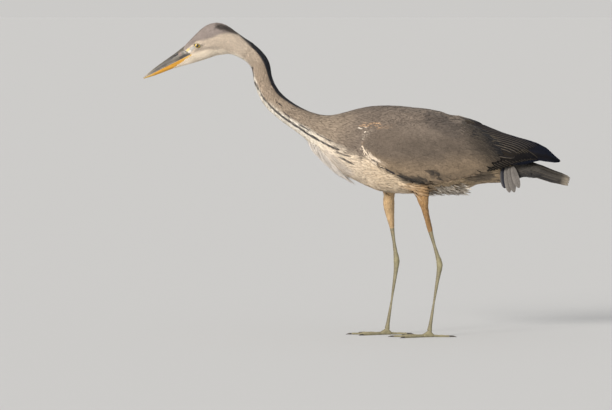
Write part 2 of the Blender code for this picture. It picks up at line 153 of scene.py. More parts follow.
def traceLine(surface, start, heading, stop):
    # the middle line of a long body in the plane y = start.y, from rows of x, z and half depth
    rows = []
    point, heading = Vector(start), Vector(heading).normalized()
    while point.x < stop and len(rows) < lineSizes["most"]:
        up = Vector((-heading.z, 0, heading.x))
        above, below = cast(surface, point, up)[0], cast(surface, point, -up)[0]
        if above is None or below is None:
            break
        middle = (above + below) / 2
        rows.append((middle.x, middle.z, (above - below).length / 2))
        if len(rows) > lineSizes["reach"]:
            back = rows[-1 - lineSizes["reach"]]
            run = Vector((middle.x - back[0], 0, middle.z - back[1])).normalized()
            heading = (heading * lineSizes["hold"] + run).normalized()
        point = middle + heading * lineSizes["step"]
    return evenLine(np.array(rows), point.y)


def evenLine(rows, y):  # smoothed, with its ends run on straight so that they stay where they are
    window = min(lineSizes["window"], len(rows) // 2 * 2 - 1)
    extra = np.arange(window // 2, 0, -1)[:, None]
    before = rows[0] - (rows[1] - rows[0]) * extra
    after = rows[-1] + (rows[-1] - rows[-2]) * extra[::-1]
    padded = np.vstack((before, rows, after))
    even = np.stack([np.convolve(column, np.ones(window) / window, "valid") for column in padded.T], 1)
    run = np.concatenate(([0], np.cumsum(np.linalg.norm(np.diff(even[:, :2], axis=0), axis=1))))
    heading = np.gradient(even[:, :2], axis=0)
    heading /= np.linalg.norm(heading, axis=1)[:, None]
    return {"run": run, "x": even[:, 0], "z": even[:, 1], "half": even[:, 2], "y": y,
            "headX": heading[:, 0], "headZ": heading[:, 1]}


def lineAt(line, run):  # middle, heading, upward direction and half depth at this run
    keys = ("x", "z", "half", "headX", "headZ")
    x, z, half, headX, headZ = (np.interp(run, line["run"], line[key]) for key in keys)
    size = math.hypot(headX, headZ)
    heading = Vector((headX / size, 0, headZ / size))
    return Vector((x, line["y"], z)), heading, Vector((-heading.z, 0, heading.x)), half


def linePlace(line, points):  # run along the line, height over it, and height as a share of the half depth
    flat = points[:, [0, 2]]
    middles = np.stack((line["x"], line["z"]), 1)
    headings = np.stack((line["headX"], line["headZ"]), 1)
    nearest = np.concatenate([((middles**2).sum(1)[None] - 2 * part @ middles.T).argmin(1)
                              for part in np.array_split(flat, max(len(flat) // lineSizes["chunk"], 1))])
    offset = flat - middles[nearest]
    head = headings[nearest]
    along = (offset * head).sum(1)
    height = offset[:, 1] * head[:, 0] - offset[:, 0] * head[:, 1]
    run = line["run"][nearest] + along
    half = np.interp(run, line["run"], line["half"])
    return run, height, np.clip(height / np.maximum(half, mm), -1, 1)


def middleOf(node):
    low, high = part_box(node)
    return (low + high) / 2


billTip = min((v.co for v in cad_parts["bill_upper"].data.vertices), key=lambda co: co.x).copy()
billStart = Vector((billTip.x, 0, billTip.z))
billRoot = Vector((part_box("bill_lower")[1].x, 0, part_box("bill_lower")[1].z))
billRun = (billRoot - billTip).xz.length
billWay = (billRoot - billStart).normalized()
eyeSpot = middleOf("eye_right")
fullBody = evenSurface(fleshNodes + ["tail"] + billNodes, "whole")
firstHeading = Vector((eyeSpot.x - billTip.x, 0, eyeSpot.z - lineSizes["drop"] - billTip.z)).normalized()
bodyLine = traceLine(fullBody, billStart + firstHeading * lineSizes["start"], firstHeading,
                     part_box("tail")[1].x - lineSizes["end"])
bodyParts = fleshNodes + ["wing_left", "wing_right"]
bodySurface = evenSurface(bodyParts, "body")
headNodes = ["head", "neck_upper", "eye_left", "eye_right"]
faceSurface = evenSurface(headNodes + billNodes, "face")
headNode, lowerBillNode = nodeSurface(headNodes), nodeSurface(["bill_lower"])
wingSurface = {side: evenSurface(nodes, "wing") for side, nodes in wingNodes.items()}
wingNode, thighNode = nodeSurface(wingNodes["Left"] + wingNodes["Right"]), nodeSurface(thighNodes)
tailSurface = evenSurface(["tail"], "tail")
print("frame surfaces ready, body line", round(float(bodyLine["run"][-1]), 3), "m")


def near(tree, points, reach):  # which points lie this close to a surface
    return np.array([tree.find_nearest(Vector(p), reach)[0] is not None for p in points])


def billPlace(points):  # share of the way from the tip to the gape, and height over the gape line
    offset = points[:, [0, 2]] - np.array((billTip.x, billTip.z))
    return ((offset @ np.array((billWay.x, billWay.z))) / billRun,
            offset[:, 1] * billWay.x - offset[:, 0] * billWay.z)


malarEdge = {"along": (0.50, 0.99), "height": (-0.0108, -0.0027)}


def malarHeight(t):  # where the cheek's feathers end on the lower bill, from the chin's point up to the gape
    return np.interp(t, malarEdge["along"], malarEdge["height"])


# ---- colours of the plumage by place

def smoothStep(values, low, high):
    t = np.clip((values - low) / (high - low), 0, 1)
    return t * t * (3 - 2 * t)


def mix(colour, other, amount):
    amount = np.asarray(amount, float)
    return colour * (1 - amount[..., None]) + np.asarray(other) * amount[..., None]


def stroke(a, b, points, width, soft):  # 1 on a painted line through these points, fading out over soft
    at = np.stack((a, b), 1)
    gap = np.full(len(at), 9.0)
    for start, end in zip(points, points[1:]):
        start, step = np.array(start), np.array(end) - np.array(start)
        t = np.clip(((at - start) @ step) / (step @ step), 0, 1)
        gap = np.minimum(gap, np.linalg.norm(at - start - t[:, None] * step, axis=1))
    return 1 - smoothStep(gap, width / 2, width / 2 + soft)


def patch(a, b, middle, size, turn=0.0):  # 1 inside a soft ellipse
    c, s = math.cos(math.radians(turn)), math.sin(math.radians(turn))
    u, v = a - middle[0], b - middle[1]
    reach = np.hypot((u * c + v * s) / size[0], (v * c - u * s) / size[1])
    return 1 - smoothStep(reach, 0.6, 1.15)


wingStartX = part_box("wing_left")[0].x
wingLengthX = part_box("flight_left")[1].x - wingStartX
bodyMarks = {  # along the body line in metres, against the share of the half depth
    "sideTint": ((0.08, "cheek"), (0.235, "cheek"), (0.30, "neck"), (0.38, "neck"), (0.47, "neckLow"),
                 (0.53, "neckLow"), (0.58, "mantle"), (0.95, "mantle")),
    "underTint": ((0.05, "chin"), (0.22, "chin"), (0.28, "white"), (0.45, "white"), (0.55, "cream"),
                  (0.66, "belly"), (0.74, "belly"), (0.80, "vent"), (1.0, "vent")),
    "underEdge": ((0.05, 0.0), (0.10, -0.15), (0.16, -0.45), (0.22, -0.75), (0.30, -0.80), (0.37, -0.72),
                  (0.39, -0.50), (0.43, -0.38), (0.48, -0.26), (0.52, -0.36), (0.58, -0.42), (0.61, -0.40),
                  (0.65, -0.15), (0.71, 0.25), (1.0, 0.45)),
    "crownEdge": ((0.09, 0.55), (0.125, 0.50), (0.141, 0.30), (0.155, 0.27), (0.172, 0.20), (0.19, 0.38),
                  (0.212, 0.62)),
    "backLine": ((0.205, 0.95), (0.222, 0.72), (0.25, 0.58), (0.30, 0.50), (0.37, 0.55), (0.42, 0.76),
                 (0.49, 1.05)),
}
bodyFades = {  # from none to all of a colour: about its edge, or along the body line
    "under": (-0.10, 0.16), "crown": (-0.08, 0.12), "crownEnd": (0.20, 0.235), "back": (-0.06, 0.10),
    "backStart": (0.208, 0.222), "backEnd": (0.43, 0.49), "fleckStart": (0.22, 0.27),
    "fleckEnd": (0.50, 0.60),
}
headDepth = 0.03  # turns a share of the head's half depth into metres
bodyStrokes = {  # tint and its strength, share of it, plane, width and softness, then places in that plane
    "nape": ("hindCrown", 1, 0.95, "head", 0.0060, 0.0034,
             ((0.182, 0.0246), (0.192, 0.0228), (0.200, 0.0222), (0.214, 0.0249))),
    "cheekShade": ("crown", 0.5, 0.8, "head", 0.0010, 0.0055,
                   ((0.127, -0.0006), (0.142, -0.0057), (0.160, -0.0114), (0.178, -0.0156))),
    "brow": ("cheek", 1.15, 0.8, "head", 0.0020, 0.0030, ((0.118, 0.0138), (0.134, 0.0150), (0.146, 0.0102))),
    "paleSide": ("white", 0.9, 0.22, "side", 0.0070, 0.0060,
                 ((0.38, -0.0120), (0.45, -0.01215), (0.52, -0.0180), (0.56, -0.0231))),
    "plumeVeil": ("plume", 1, 0.6, "view", 0.0080, 0.0090,
                  ((-0.062, 0.399), (-0.040, 0.378), (-0.012, 0.357))),
    "underShade": ("flank", 2, 0.7, "view", 0.0120, 0.0090, ((0.250, 0.351), (0.298, 0.353))),
    "flankStrip": ("flank", 1, 0.95, "view", 0.0110, 0.0040,
                   [(wingStartX + share * wingLengthX, low)
                    for share, low in ((0.245, 0.348), (0.300, 0.343), (0.372, 0.340))]),
}
cheekSpot = {"middle": (0.1405, 0.07), "size": (0.0052, 0.13), "strength": 1.2, "strokeStrength": 0.55}
neckStreaks = (  # black lines down the foreneck: run and share of the half depth, and width in metres
    (((0.290, -0.66), (0.300, -0.78)), 0.0026), (((0.303, -0.84), (0.316, -0.92)), 0.0022),
    (((0.326, -0.93), (0.345, -0.78)), 0.0024), (((0.353, -0.82), (0.375, -0.66), (0.395, -0.61)), 0.0022),
    (((0.398, -0.62), (0.429, -0.60), (0.454, -0.60), (0.474, -0.54)), 0.0034),
    (((0.472, -0.60), (0.503, -0.52), (0.526, -0.46), (0.550, -0.41)), 0.0034),
    (((0.548, -0.50), (0.574, -0.46)), 0.0030), (((0.562, -0.60), (0.585, -0.62)), 0.0028),
    (((0.384, 0.0), (0.398, 0.1)), 0.0024), (((0.410, -0.22), (0.428, -0.24)), 0.0022),
    (((0.455, -0.36), (0.480, -0.30)), 0.0024), (((0.50, -0.28), (0.53, -0.25)), 0.0022),
)
streakSizes = {"soft": 0.0012, "share": 0.92}
# the thigh colour twice: on the left, near thigh it is darkened into painted shade, and on the right it is
# the lit copy
legTintsLeftShaded = {"Left": tints["thigh"] * (0.56, 0.49, 0.41), "Right": tints["thigh"] * (0.9, 0.93, 0.97)}
thighTop = {  # where a thigh's own colour starts: x and z on the left one, and how far out
    "places": ((0.130, 0.343), (0.140, 0.325), (0.146, 0.300)), "width": 0.034, "soft": 0.006, "inner": 0.012,
    "share": 0.9,
}


def along(run, stops):  # a named colour, or a number, from stops along the body line
    at = [place for place, _ in stops]
    if isinstance(stops[0][1], str):
        return np.stack([np.interp(run, at, [tints[name][i] for _, name in stops]) for i in range(3)], -1)
    return np.interp(run, at, [value for _, value in stops])


def bodyStroke(planes, name):
    plane, width, soft, places = bodyStrokes[name][3:]
    return stroke(*planes[plane], places, width, soft)


def painted(colour, name, strength):  # with a body stroke's tint laid over it
    tint, factor, share = bodyStrokes[name][:3]
    return mix(colour, tints[tint] * factor, share * strength)


def bodyColour(points):
    run, height, share = linePlace(bodyLine, points)
    half = np.interp(run, bodyLine["run"], bodyLine["half"])
    edges = {name: along(run, bodyMarks[name]) for name in ("underEdge", "crownEdge", "backLine")}
    planes = {"head": (run, share * headDepth), "side": (run, share * half),
              "view": (points[:, 0], points[:, 2])}
    names = ("crownEnd", "backStart", "backEnd", "fleckStart", "fleckEnd")
    starts = {name: smoothStep(run, *bodyFades[name]) for name in names}

    def over(edge, fade, shift=0.0):  # 0 below an edge and 1 above it
        start, end = (edges[edge] + step + shift for step in bodyFades[fade])
        return smoothStep(share, start, end)

    grain = 0.10 * np.sin(run * 410) * np.sin(run * 173 + 1) * (run > 0.5)  # a ragged edge on the breast
    colour = mix(along(run, bodyMarks["sideTint"]), along(run, bodyMarks["underTint"]),
                 1 - over("underEdge", "under", grain))
    colour = mix(colour, tints["crown"], over("crownEdge", "crown") * (1 - starts["crownEnd"]))
    patchy = 0.84 + 0.16 * np.sin(run * 1500) * np.sin(points[:, 1] * 900 + run * 600)
    colour = painted(colour, "nape", bodyStroke(planes, "nape") * patchy)
    dark = over("backLine", "back") * starts["backStart"] * (1 - starts["backEnd"])
    colour = mix(colour, tints["blackBlue"], dark)
    cheek = (cheekSpot["strength"] * patch(run, share, cheekSpot["middle"], cheekSpot["size"])
             + cheekSpot["strokeStrength"] * bodyStroke(planes, "cheekShade"))
    colour = painted(colour, "cheekShade", np.clip(cheek, 0, 1))
    for name in ("brow", "paleSide", "plumeVeil", "underShade"):
        colour = painted(colour, name, bodyStroke(planes, name))
    fleck = np.sin(run * 900 + 5 * np.sin(height * 500)) * np.sin(height * 1300 + 4 * np.sin(run * 310))
    colour = colour * (1 + 0.16 * (fleck * starts["fleckStart"] * (1 - starts["fleckEnd"]))[:, None])
    # each thigh's colour reaches up over the flank, the left one in painted shade
    for side, sign in sides.items():
        shift = middleOf(nodeOf("thigh", side)).x - middleOf("thigh_left").x
        leg = stroke(points[:, 0] - shift, points[:, 2], thighTop["places"], thighTop["width"],
                     thighTop["soft"])
        leg = leg * (points[:, 1] * sign > thighTop["inner"])
        colour = mix(colour, legTintsLeftShaded[side], thighTop["share"] * leg)
    colour = painted(colour, "flankStrip", bodyStroke(planes, "flankStrip"))
    for places, width in neckStreaks:
        halves = [np.interp(place[0], bodyLine["run"], bodyLine["half"]) for place in places]
        line = [(place[0], place[1] * size) for place, size in zip(places, halves)]
        streak = stroke(run, height, line, width, streakSizes["soft"])
        colour = mix(colour, tints["blackBlue"], streakSizes["share"] * streak)
    return colour


def wingEdges(x):  # lowest and highest z of the folded wing at this x, from its own outline
    low, top = (np.interp(x, wingOutline["x"], wingOutline[key]) for key in ("low", "top"))
    return low, top


def traceWing():  # the outline of the left wing in the side view
    co = np.array([v.co for name in wingNodes["Left"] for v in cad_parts[name].data.vertices])
    xs = np.linspace(co[:, 0].min() + 3 * mm, co[:, 0].max() - 1 * mm, 60)
    lows, tops = [], []
    faces = np.array([[co[i] for i in face] for face in nodeFaces(wingNodes["Left"])])
    for x in xs:
        inside = (faces[:, :, 0].min(1) <= x) & (faces[:, :, 0].max(1) >= x)
        heights = []
        for a, b in ((0, 1), (1, 2), (2, 0)):
            p, q = faces[inside][:, a], faces[inside][:, b]
            cut = (p[:, 0] - x) * (q[:, 0] - x) < 0
            t = (x - p[cut, 0]) / (q[cut, 0] - p[cut, 0])
            heights.append(p[cut, 2] + t * (q[cut, 2] - p[cut, 2]))
        heights = np.concatenate(heights)
        lows.append(heights.min())
        tops.append(heights.max())
    return {"x": xs, "low": np.array(lows), "top": np.array(tops)}


def nodeFaces(names):  # the corner numbers of all faces of these nodes, counted on from one to the next
    faces, first = [], 0
    for name in names:
        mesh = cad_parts[name].data
        faces += [[first + i for i in face.vertices] for face in mesh.polygons]
        first += len(mesh.vertices)
    return faces


wingOutline = traceWing()
wingStart, wingEnd = wingOutline["x"][0], wingOutline["x"][-1]
wingLength = wingEnd - wingStart
# places behind the wrist and above the wing's lowest point, width and softness, all in wing lengths
wingMarks = {
    "wristArc": (((0.000, 0.192), (0.003, 0.220), (0.021, 0.250), (0.050, 0.271), (0.088, 0.279),
                  (0.112, 0.276)),
                 0.018, 0.012),
    "wristWhite": (((0.008, 0.224), (0.019, 0.240), (0.042, 0.258)), 0.015, 0.008),
    "whiteEdge": (((0.004, 0.185), (0.014, 0.166), (0.031, 0.145), (0.070, 0.115), (0.100, 0.096)),
                  0.024, 0.010),
    # a painted shadow along the wing's lower edge
    "lowerEdgeShadow": (((0.075, 0.107), (0.118, 0.079), (0.151, 0.056), (0.181, 0.043)), 0.006, 0.003),
    "underStrip": (((0.215, 0.026), (0.260, 0.016), (0.330, 0.006)), 0.020, 0.006),
    "darkScapular": (((0.372, 0.300), (0.425, 0.285), (0.475, 0.255)), 0.056, 0.035),
    "darkGap": (((0.361, 0.052), (0.372, 0.034)), 0.012, 0.010),
    "darkGapRear": (((0.392, 0.048), (0.410, 0.020)), 0.010, 0.010),
}
wingLines = {"whiteEdge": "cream", "darkGap": "flank", "darkGapRear": "flank", "underStrip": "flank",
             "lowerEdgeShadow": "blackBlue"}  # drawn last, in this order
wingFades = {"mantle": (0.6, 0.9), "warm": (0.10, 0.50), "frontEnd": (0.10, 0.32), "frontLow": (0.15, 0.4),
             "secondary": (-0.13, 0.01), "flight": (0.0, 0.07)}
wingShares = {"warm": 0.8, "darkScapular": 0.75, "front": 0.8, "secondary": 0.85, "lines": 0.92,
              "arc": 0.85, "white": 0.9, "mottle": 0.07, "frontTint": 1.35}
blackFrom = (  # height, then length
    (0, 0.70), (0.3, 0.66), (0.67, 0.60), (0.83, 0.56), (0.95, 0.50), (1, 0.47))


def wingPlace(points):  # share of the wing's length from the wrist, and of its height there from below
    low, top = wingEdges(points[:, 0])
    return (points[:, 0] - wingStart) / wingLength, (points[:, 2] - low) / np.maximum(top - low, mm)


def wingMark(points, name):
    return stroke((points[:, 0] - wingStart) / wingLength,
                  (points[:, 2] - wingOutline["low"].min()) / wingLength, *wingMarks[name])


def wristColour(colour, points):  # the rufous and white arc over the wrist, also where the back covers it
    colour = mix(colour, tints["rufous"], wingShares["arc"] * wingMark(points, "wristArc"))
    return mix(colour, tints["white"], wingShares["white"] * wingMark(points, "wristWhite"))


def wingColour(points):
    a, b = wingPlace(points)
    past = a - np.interp(b, *zip(*blackFrom))  # how far behind the slanting line where the wing turns black
    fades = (("mantle", b), ("warm", b), ("frontEnd", a), ("frontLow", b), ("secondary", past),
             ("flight", past))
    over = {name: smoothStep(values, *wingFades[name]) for name, values in fades}
    colour = mix(tints["covert"], tints["mantle"], over["mantle"])
    colour = mix(colour, tints["covertWarm"], wingShares["warm"] * (1 - over["warm"]))
    mottle = np.sin(a * 61 + 4 * b) * np.sin(b * 23 - 9 * a) + 0.6 * np.sin(a * 131 + b * 47)
    colour = colour * (1 + wingShares["mottle"] * mottle[:, None])
    colour = mix(colour, tints["scapular"], wingShares["darkScapular"] * wingMark(points, "darkScapular"))
    colour = mix(colour, tints["covert"] * wingShares["frontTint"],
                 wingShares["front"] * (1 - over["frontEnd"]) * over["frontLow"])
    colour = mix(colour, tints["secondary"], wingShares["secondary"] * over["secondary"])
    colour = wristColour(mix(colour, tints["flight"], over["flight"]), points)
    # the last lines, among them the painted shadow along the lower edge
    for name, tint in wingLines.items():
        colour = mix(colour, tints[tint], wingShares["lines"] * wingMark(points, name))
    return colour


# ---- materials

def newMaterial(name, roughness, **sockets):
    material = bpy.data.materials.new(name)
    material.use_nodes = True
    shader = material.node_tree.nodes["Principled BSDF"]
    shader.inputs["Roughness"].default_value = roughness
    for socket, value in sockets.items():
        shader.inputs[socket.replace("_", " ")].default_value = value
    return material, material.node_tree, shader


def node(tree, kind, **values):
    # a shader node. A small first letter sets its own value, _0 and _1 are its inputs by number, and another
    # node, or an output of one, is linked
    made = tree.nodes.new("ShaderNode" + kind)
    for key, value in values.items():
        if key[0].islower():
            setattr(made, key, value)
            continue
        socket = made.inputs[int(key[1:]) if key[1:].isdigit() else key.replace("_", " ")]
        if isinstance(value, bpy.types.Node):
            value = value.outputs[0]
        if isinstance(value, bpy.types.NodeSocket):
            tree.links.new(value, socket)
        else:
            socket.default_value = value
    return made


def objectPlace(tree):
    return node(tree, "TexCoord").outputs["Object"]


def noiseFactor(tree, scale, low, high, vector):  # a number that wanders from low to high
    noise = node(tree, "TexNoise", Vector=vector, Scale=scale, Detail=4.0)
    return node(tree, "MapRange", Value=noise, From_Min=0.3, From_Max=0.7, To_Min=low, To_Max=high)


def product(tree, *factors):
    result = factors[0]
    for factor in factors[1:]:
        result = node(tree, "Math", operation="MULTIPLY", _0=result, _1=factor)
    return result


def finishShader(tree, shader, colour, tone, height=None, strength=0.0, distance=0.0):
    # the colour times its tone, and bumps from a height
    scaled = node(tree, "VectorMath", operation="SCALE", _0=colour, Scale=tone)
    tree.links.new(scaled.outputs[0], shader.inputs["Base Color"])
    if height:
        bump = node(tree, "Bump", Height=height, Strength=strength, Distance=distance)
        tree.links.new(bump.outputs[0], shader.inputs["Normal"])


def featherMaterial(name, roughness, sheen, gloss, barbs, grain):
    # the painted colour, with barbs that leave the shaft at a slant and a fine uneven grain
    material, tree, shader = newMaterial(name, roughness, Sheen_Weight=sheen, Sheen_Roughness=0.5,
                                         Specular_IOR_Level=gloss)
    tone, place = node(tree, "Attribute", attribute_name="tone"), objectPlace(tree)
    vane = node(tree, "SeparateXYZ", _0=node(tree, "UVMap", uv_map="vane"))
    fromShaft = node(tree, "Math", operation="SUBTRACT", _0=vane, _1=0.5)
    width = node(tree, "Math", operation="ABSOLUTE", _0=fromShaft)
    slant = node(tree, "Math", operation="MULTIPLY_ADD", _0=width, _1=-0.7, _2=vane.outputs["Y"])
    beat = node(tree, "Math", operation="MULTIPLY", _0=slant, _1=barbs)
    wave = node(tree, "Math", operation="SINE", _0=beat)
    barb = node(tree, "MapRange", Value=wave, From_Min=-1.0, To_Min=0.88, To_Max=1.06)
    shaft = node(tree, "MapRange", Value=width, From_Max=0.05, To_Min=0.72)
    rim = node(tree, "MapRange", Value=width, From_Min=0.41, From_Max=0.48)
    fringed = node(tree, "Mix", data_type="RGBA", Factor=product(tree, rim, tone.outputs["Alpha"]), A=tone,
                   B=(*tints["fringe"], 1))
    uneven = product(tree, barb, shaft, noiseFactor(tree, grain, 0.86, 1.12, place),
                     noiseFactor(tree, 38, 0.92, 1.08, place))
    finishShader(tree, shader, fringed.outputs["Result"], uneven, wave, 0.35, 0.0003)
    return material


def skinMaterial():  # bare skin with fine folds where it shows
    material, tree, shader = newMaterial("skin", 0.6, Specular_IOR_Level=0.4)
    place = objectPlace(tree)
    folds = noiseFactor(tree, 1400, 0.82, 1.12, place)
    uneven = product(tree, folds, noiseFactor(tree, 240, 0.9, 1.1, place))
    finishShader(tree, shader, node(tree, "Attribute", attribute_name="tone"), uneven, folds, 0.35, 0.0002)
    return material


materials = {
    "soft": featherMaterial("softPlumage", 0.82, 0.12, 0.18, 70, 420),
    "wing": featherMaterial("wingPlumage", 0.70, 0.08, 0.18, 90, 300),
    "flight": featherMaterial("flightPlumage", 0.58, 0.0, 0.05, 230, 200),
    "skin": skinMaterial(),
}


# ---- feathers

featherShapes = {  # stations along a feather, its width there, and points across the top
    "hair": {"along": (0, 0.35, 0.75, 1), "width": (0.6, 1, 0.75, 0.10), "across": 3},
    "lance": {"along": (0, 0.3, 0.62, 0.87, 1), "width": (0.5, 1, 0.86, 0.5, 0.08), "across": 3},
    "broad": {"along": (0, 0.25, 0.5, 0.72, 0.88, 0.97, 1),
              "width": (0.4, 0.85, 1, 0.94, 0.70, 0.36, 0.10), "across": 5},
    "plume": {"along": (0, 0.15, 0.35, 0.55, 0.75, 0.9, 1),
              "width": (0.8, 1, 0.9, 0.72, 0.5, 0.3, 0.06), "across": 3},
    "quill": {"along": (0, 0.12, 0.3, 0.5, 0.7, 0.85, 0.94, 0.985, 1),
              "width": (0.5, 0.85, 1, 1, 0.97, 0.85, 0.62, 0.34, 0.08), "across": 5},
}
topShapes = {3: ((-1, 0.0), (0, 1.0), (1, 0.0)),
             5: ((-1, 0.0), (-0.5, 0.72), (0, 1.0), (0.5, 0.72), (1, 0.0))}


def unit(vectors):
    return vectors / np.maximum(np.linalg.norm(vectors, axis=-1, keepdims=True), 1e-9)


def drapedPaths(surface, roots, headings, lengths, stations, hold=1.0):
    # each feather's middle line, laid along the surface from its root; hold 0 is straight and 1 follows it
    paths, normals = np.zeros((2, len(roots), len(stations), 3))
    points, straight, firstHeadings = roots, None, None
    for k in range(len(stations)):
        if k:
            step = (lengths * (stations[k] - stations[k - 1]))[:, None]
            points = points + headings * step
            straight = straight + firstHeadings * step
        found = [surface.find_nearest(Vector(p)) for p in points]
        points, normal = np.array([f[0] for f in found]), np.array([f[1] for f in found])
        headings = unit(headings - (headings * normal).sum(1)[:, None] * normal)
        if not k:
            straight, firstHeadings = points, headings
        paths[:, k] = points * hold + straight * (1 - hold)
        normals[:, k] = normal
    return paths, unit(normals)


vaneForm = {"rootFall": 1.6, "tipRise": 1.5, "fringe": 0.6, "fringeRoot": 0.35, "fringePower": 0.7,
            "underside": 0.85, "patch": 0.003}


def buildFeathers(name, shape, paths, normals, widths, colours, places, lift=(-2.0, 0.6), camber=0.18,
                  thick=0.25, roll=0.0, material="soft", slotName="plumage_grey", replaced=(), rim=0.0,
                  tipFrom=0.0):
    # closed vanes along their middle lines, joined in one mesh. colours holds root, tip and edge of each
    # vane, places is where each root lies on the unwrapped skin, lift is in mm at the root and at the tip,
    # and tipFrom is how far along the tip's colour starts
    form = featherShapes[shape]
    top = topShapes[form["across"]]
    t = np.array(form["along"])
    count, stations, ring = len(paths), len(t), len(top) + 1
    tangents = unit(np.gradient(paths, axis=1))
    ups = unit(normals - (normals * tangents).sum(-1, keepdims=True) * tangents)
    acrossDir = np.cross(ups, tangents)
    turn = np.radians(np.broadcast_to(roll, (count,)))[:, None, None]
    c, s = np.cos(turn), np.sin(turn)
    acrossDir, ups = acrossDir * c + ups * s, ups * c - acrossDir * s
    rootLift = np.broadcast_to(lift[0], (count,))[:, None]
    rise = (rootLift * (1 - t) ** vaneForm["rootFall"] + lift[1] * t ** vaneForm["tipRise"]) * mm
    middles = paths + normals * rise[..., None]
    halfWidth = (np.broadcast_to(widths, (count,))[:, None] * np.array(form["width"])[None] / 2)[..., None]
    keys = ("root", "tip", "edge")
    root, tip, rimTint = (np.broadcast_to(colours[key], (count, 3))[:, None] for key in keys)
    blend = np.clip((t - tipFrom) / (1 - tipFrom), 0, 1)[None, :, None]
    base = root * (1 - blend) + tip * blend
    least = vaneForm["fringeRoot"]
    fringe = least + (1 - least) * t[None, :, None] ** vaneForm["fringePower"]
    fringe = fringe * colours.get("fringe", vaneForm["fringe"])
    spots = [(side, acrossDir * side + ups * camber * height, base * (1 - side * side * fringe)
              + rimTint * side * side * fringe) for side, height in top]
    verts = np.stack([middles + halfWidth * out for _, out, _ in spots] + [middles - ups * thick * mm], 2)
    tone = np.stack([colour for _, _, colour in spots] + [base * vaneForm["underside"]], 2)
    across = np.array([(side + 1) / 2 for side, _, _ in spots] + [0.5])
    size = count, stations, ring
    vane = np.stack((np.broadcast_to(across, size), np.broadcast_to(t[:, None], size)), -1).reshape(-1, 2)
    number = np.arange(count * stations * ring).reshape(size)
    after = np.roll(number, -1, axis=2)
    walls = np.stack((number[:, :-1], number[:, 1:], after[:, 1:], after[:, :-1]), -1).reshape(-1, 4)
    caps = [[0, 1, 2, 3]] if ring == 4 else [[0, 1, 2, 5], [5, 2, 3, 4]]
    ends = [number[:, 0][:, cap] for cap in caps] + [number[:, -1][:, cap[::-1]] for cap in caps]
    mesh = meshFrom(name, verts.reshape(-1, 3), np.concatenate([walls, *ends]))
    paint(mesh, tone.reshape(-1, 3), np.repeat(np.broadcast_to(rim, (count,)), stations * ring))
    layUv(mesh, "OFBake", np.repeat(places, stations * ring, 0) + (vane - 0.5) * vaneForm["patch"])
    layUv(mesh, "vane", vane)
    sharpenRims(mesh, ring, (0, ring - 2))
    finishPiece(name, mesh, materials[material], replaced)


def meshFrom(name, verts, faces):
    mesh = bpy.data.meshes.new(name)
    mesh.vertices.add(len(verts))
    mesh.vertices.foreach_set("co", verts.astype(np.float32).ravel())
    mesh.loops.add(faces.size)
    mesh.loops.foreach_set("vertex_index", faces.astype(np.int32).ravel())
    mesh.polygons.add(len(faces))
    mesh.polygons.foreach_set("loop_start", np.arange(0, faces.size, faces.shape[1], dtype=np.int32))
    mesh.update(calc_edges=True)
    return mesh


def paint(mesh, colours, fringe=(0.0,)):  # each point's tone, and in its alpha how pale a vane's fringe is
    layer = mesh.attributes.get("tone") or mesh.attributes.new("tone", "FLOAT_COLOR", "POINT")
    alpha = np.broadcast_to(np.reshape(fringe, (-1, 1)), (len(colours), 1))
    full = np.concatenate((np.clip(colours, 0, 1), alpha), 1)
    layer.data.foreach_set("color", full.astype(np.float32).ravel())


def layUv(mesh, name, places):
    layer = mesh.uv_layers.new(name=name)
    corner = np.zeros(len(mesh.loops), np.int32)
    mesh.loops.foreach_get("vertex_index", corner)
    layer.uv.foreach_set("vector", places[corner].astype(np.float32).ravel())


def sharpenRims(mesh, ring, rims):  # the two rims of every vane are sharp, the rest is smooth
    ends = np.zeros(len(mesh.edges) * 2, np.int32)
    mesh.edges.foreach_get("vertices", ends)
    spots = ends.reshape(-1, 2) % ring
    mesh.attributes.new("sharp_edge", "BOOLEAN", "EDGE")
    mesh.shade_smooth()
    sharp = (spots[:, 0] == spots[:, 1]) & np.isin(spots[:, 0], rims)
    mesh.attributes["sharp_edge"].data.foreach_set("value", sharp)


def finishPiece(name, mesh, material, replaced=()):
    piece = bpy.data.objects.new(name, mesh)
    bpy.context.scene.collection.objects.link(piece)
    mesh.materials.append(material)
    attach(piece, "root")
    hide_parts(*replaced)
    print(name, len(mesh.vertices), "vertices", len(mesh.polygons), "faces")


def ringSites(line, surface, runFrom, runTo, step, gap, jitter=0.3, outside=0.0):
    # places in staggered rows round a line, where a ray from the line, or from this far outside it, meets the
    # surface. step and gap are the distances along and round the body, given at both ends
    sites, run, row = [], runFrom, 0
    while run < runTo:
        t = (run - runFrom) / (runTo - runFrom)
        rowStep, rowGap = (pair[0] + (pair[1] - pair[0]) * t for pair in (step, gap))
        middle, heading, up, half = lineAt(line, run)
        count = max(int(2 * math.pi * half * 0.85 / rowGap), 6)
        for i in range(count):
            angle = 2 * math.pi * (i + row % 2 / 2 + rng.uniform(-jitter, jitter)) / count
            start = middle + heading * rng.uniform(-jitter, jitter) * rowStep
            ray = up * math.cos(angle) + Vector((0, 1, 0)) * math.sin(angle)
            if outside:
                hit, normal = surface.ray_cast(start + ray * outside, -ray, outside)[:2]
            else:
                hit, normal = cast(surface, start, ray)
            if hit is not None and normal.dot(ray) > 0:
                sites.append((*hit, *normal, *heading, run, angle % (2 * math.pi)))
        run += rowStep
        row += 1
    return np.array(sites)


def chosen(sites, keep=slice(None)):  # the sites kept, as a dictionary of arrays
    sites = sites[keep]
    return {"points": sites[:, :3], "normals": sites[:, 3:6], "headings": sites[:, 6:9], "run": sites[:, 9],
            "angle": sites[:, 10]}


def downward(points, normals, headings, degrees):  # turned so that a positive angle is down on both sides
    flat = unit(headings - (headings * normals).sum(1)[:, None] * normals)
    side = np.cross(normals, flat)
    sign = np.where(side[:, 2] < 0, 1.0, -1.0)
    angle = np.radians(degrees)[:, None]
    return flat * np.cos(angle) + side * sign[:, None] * np.sin(angle)


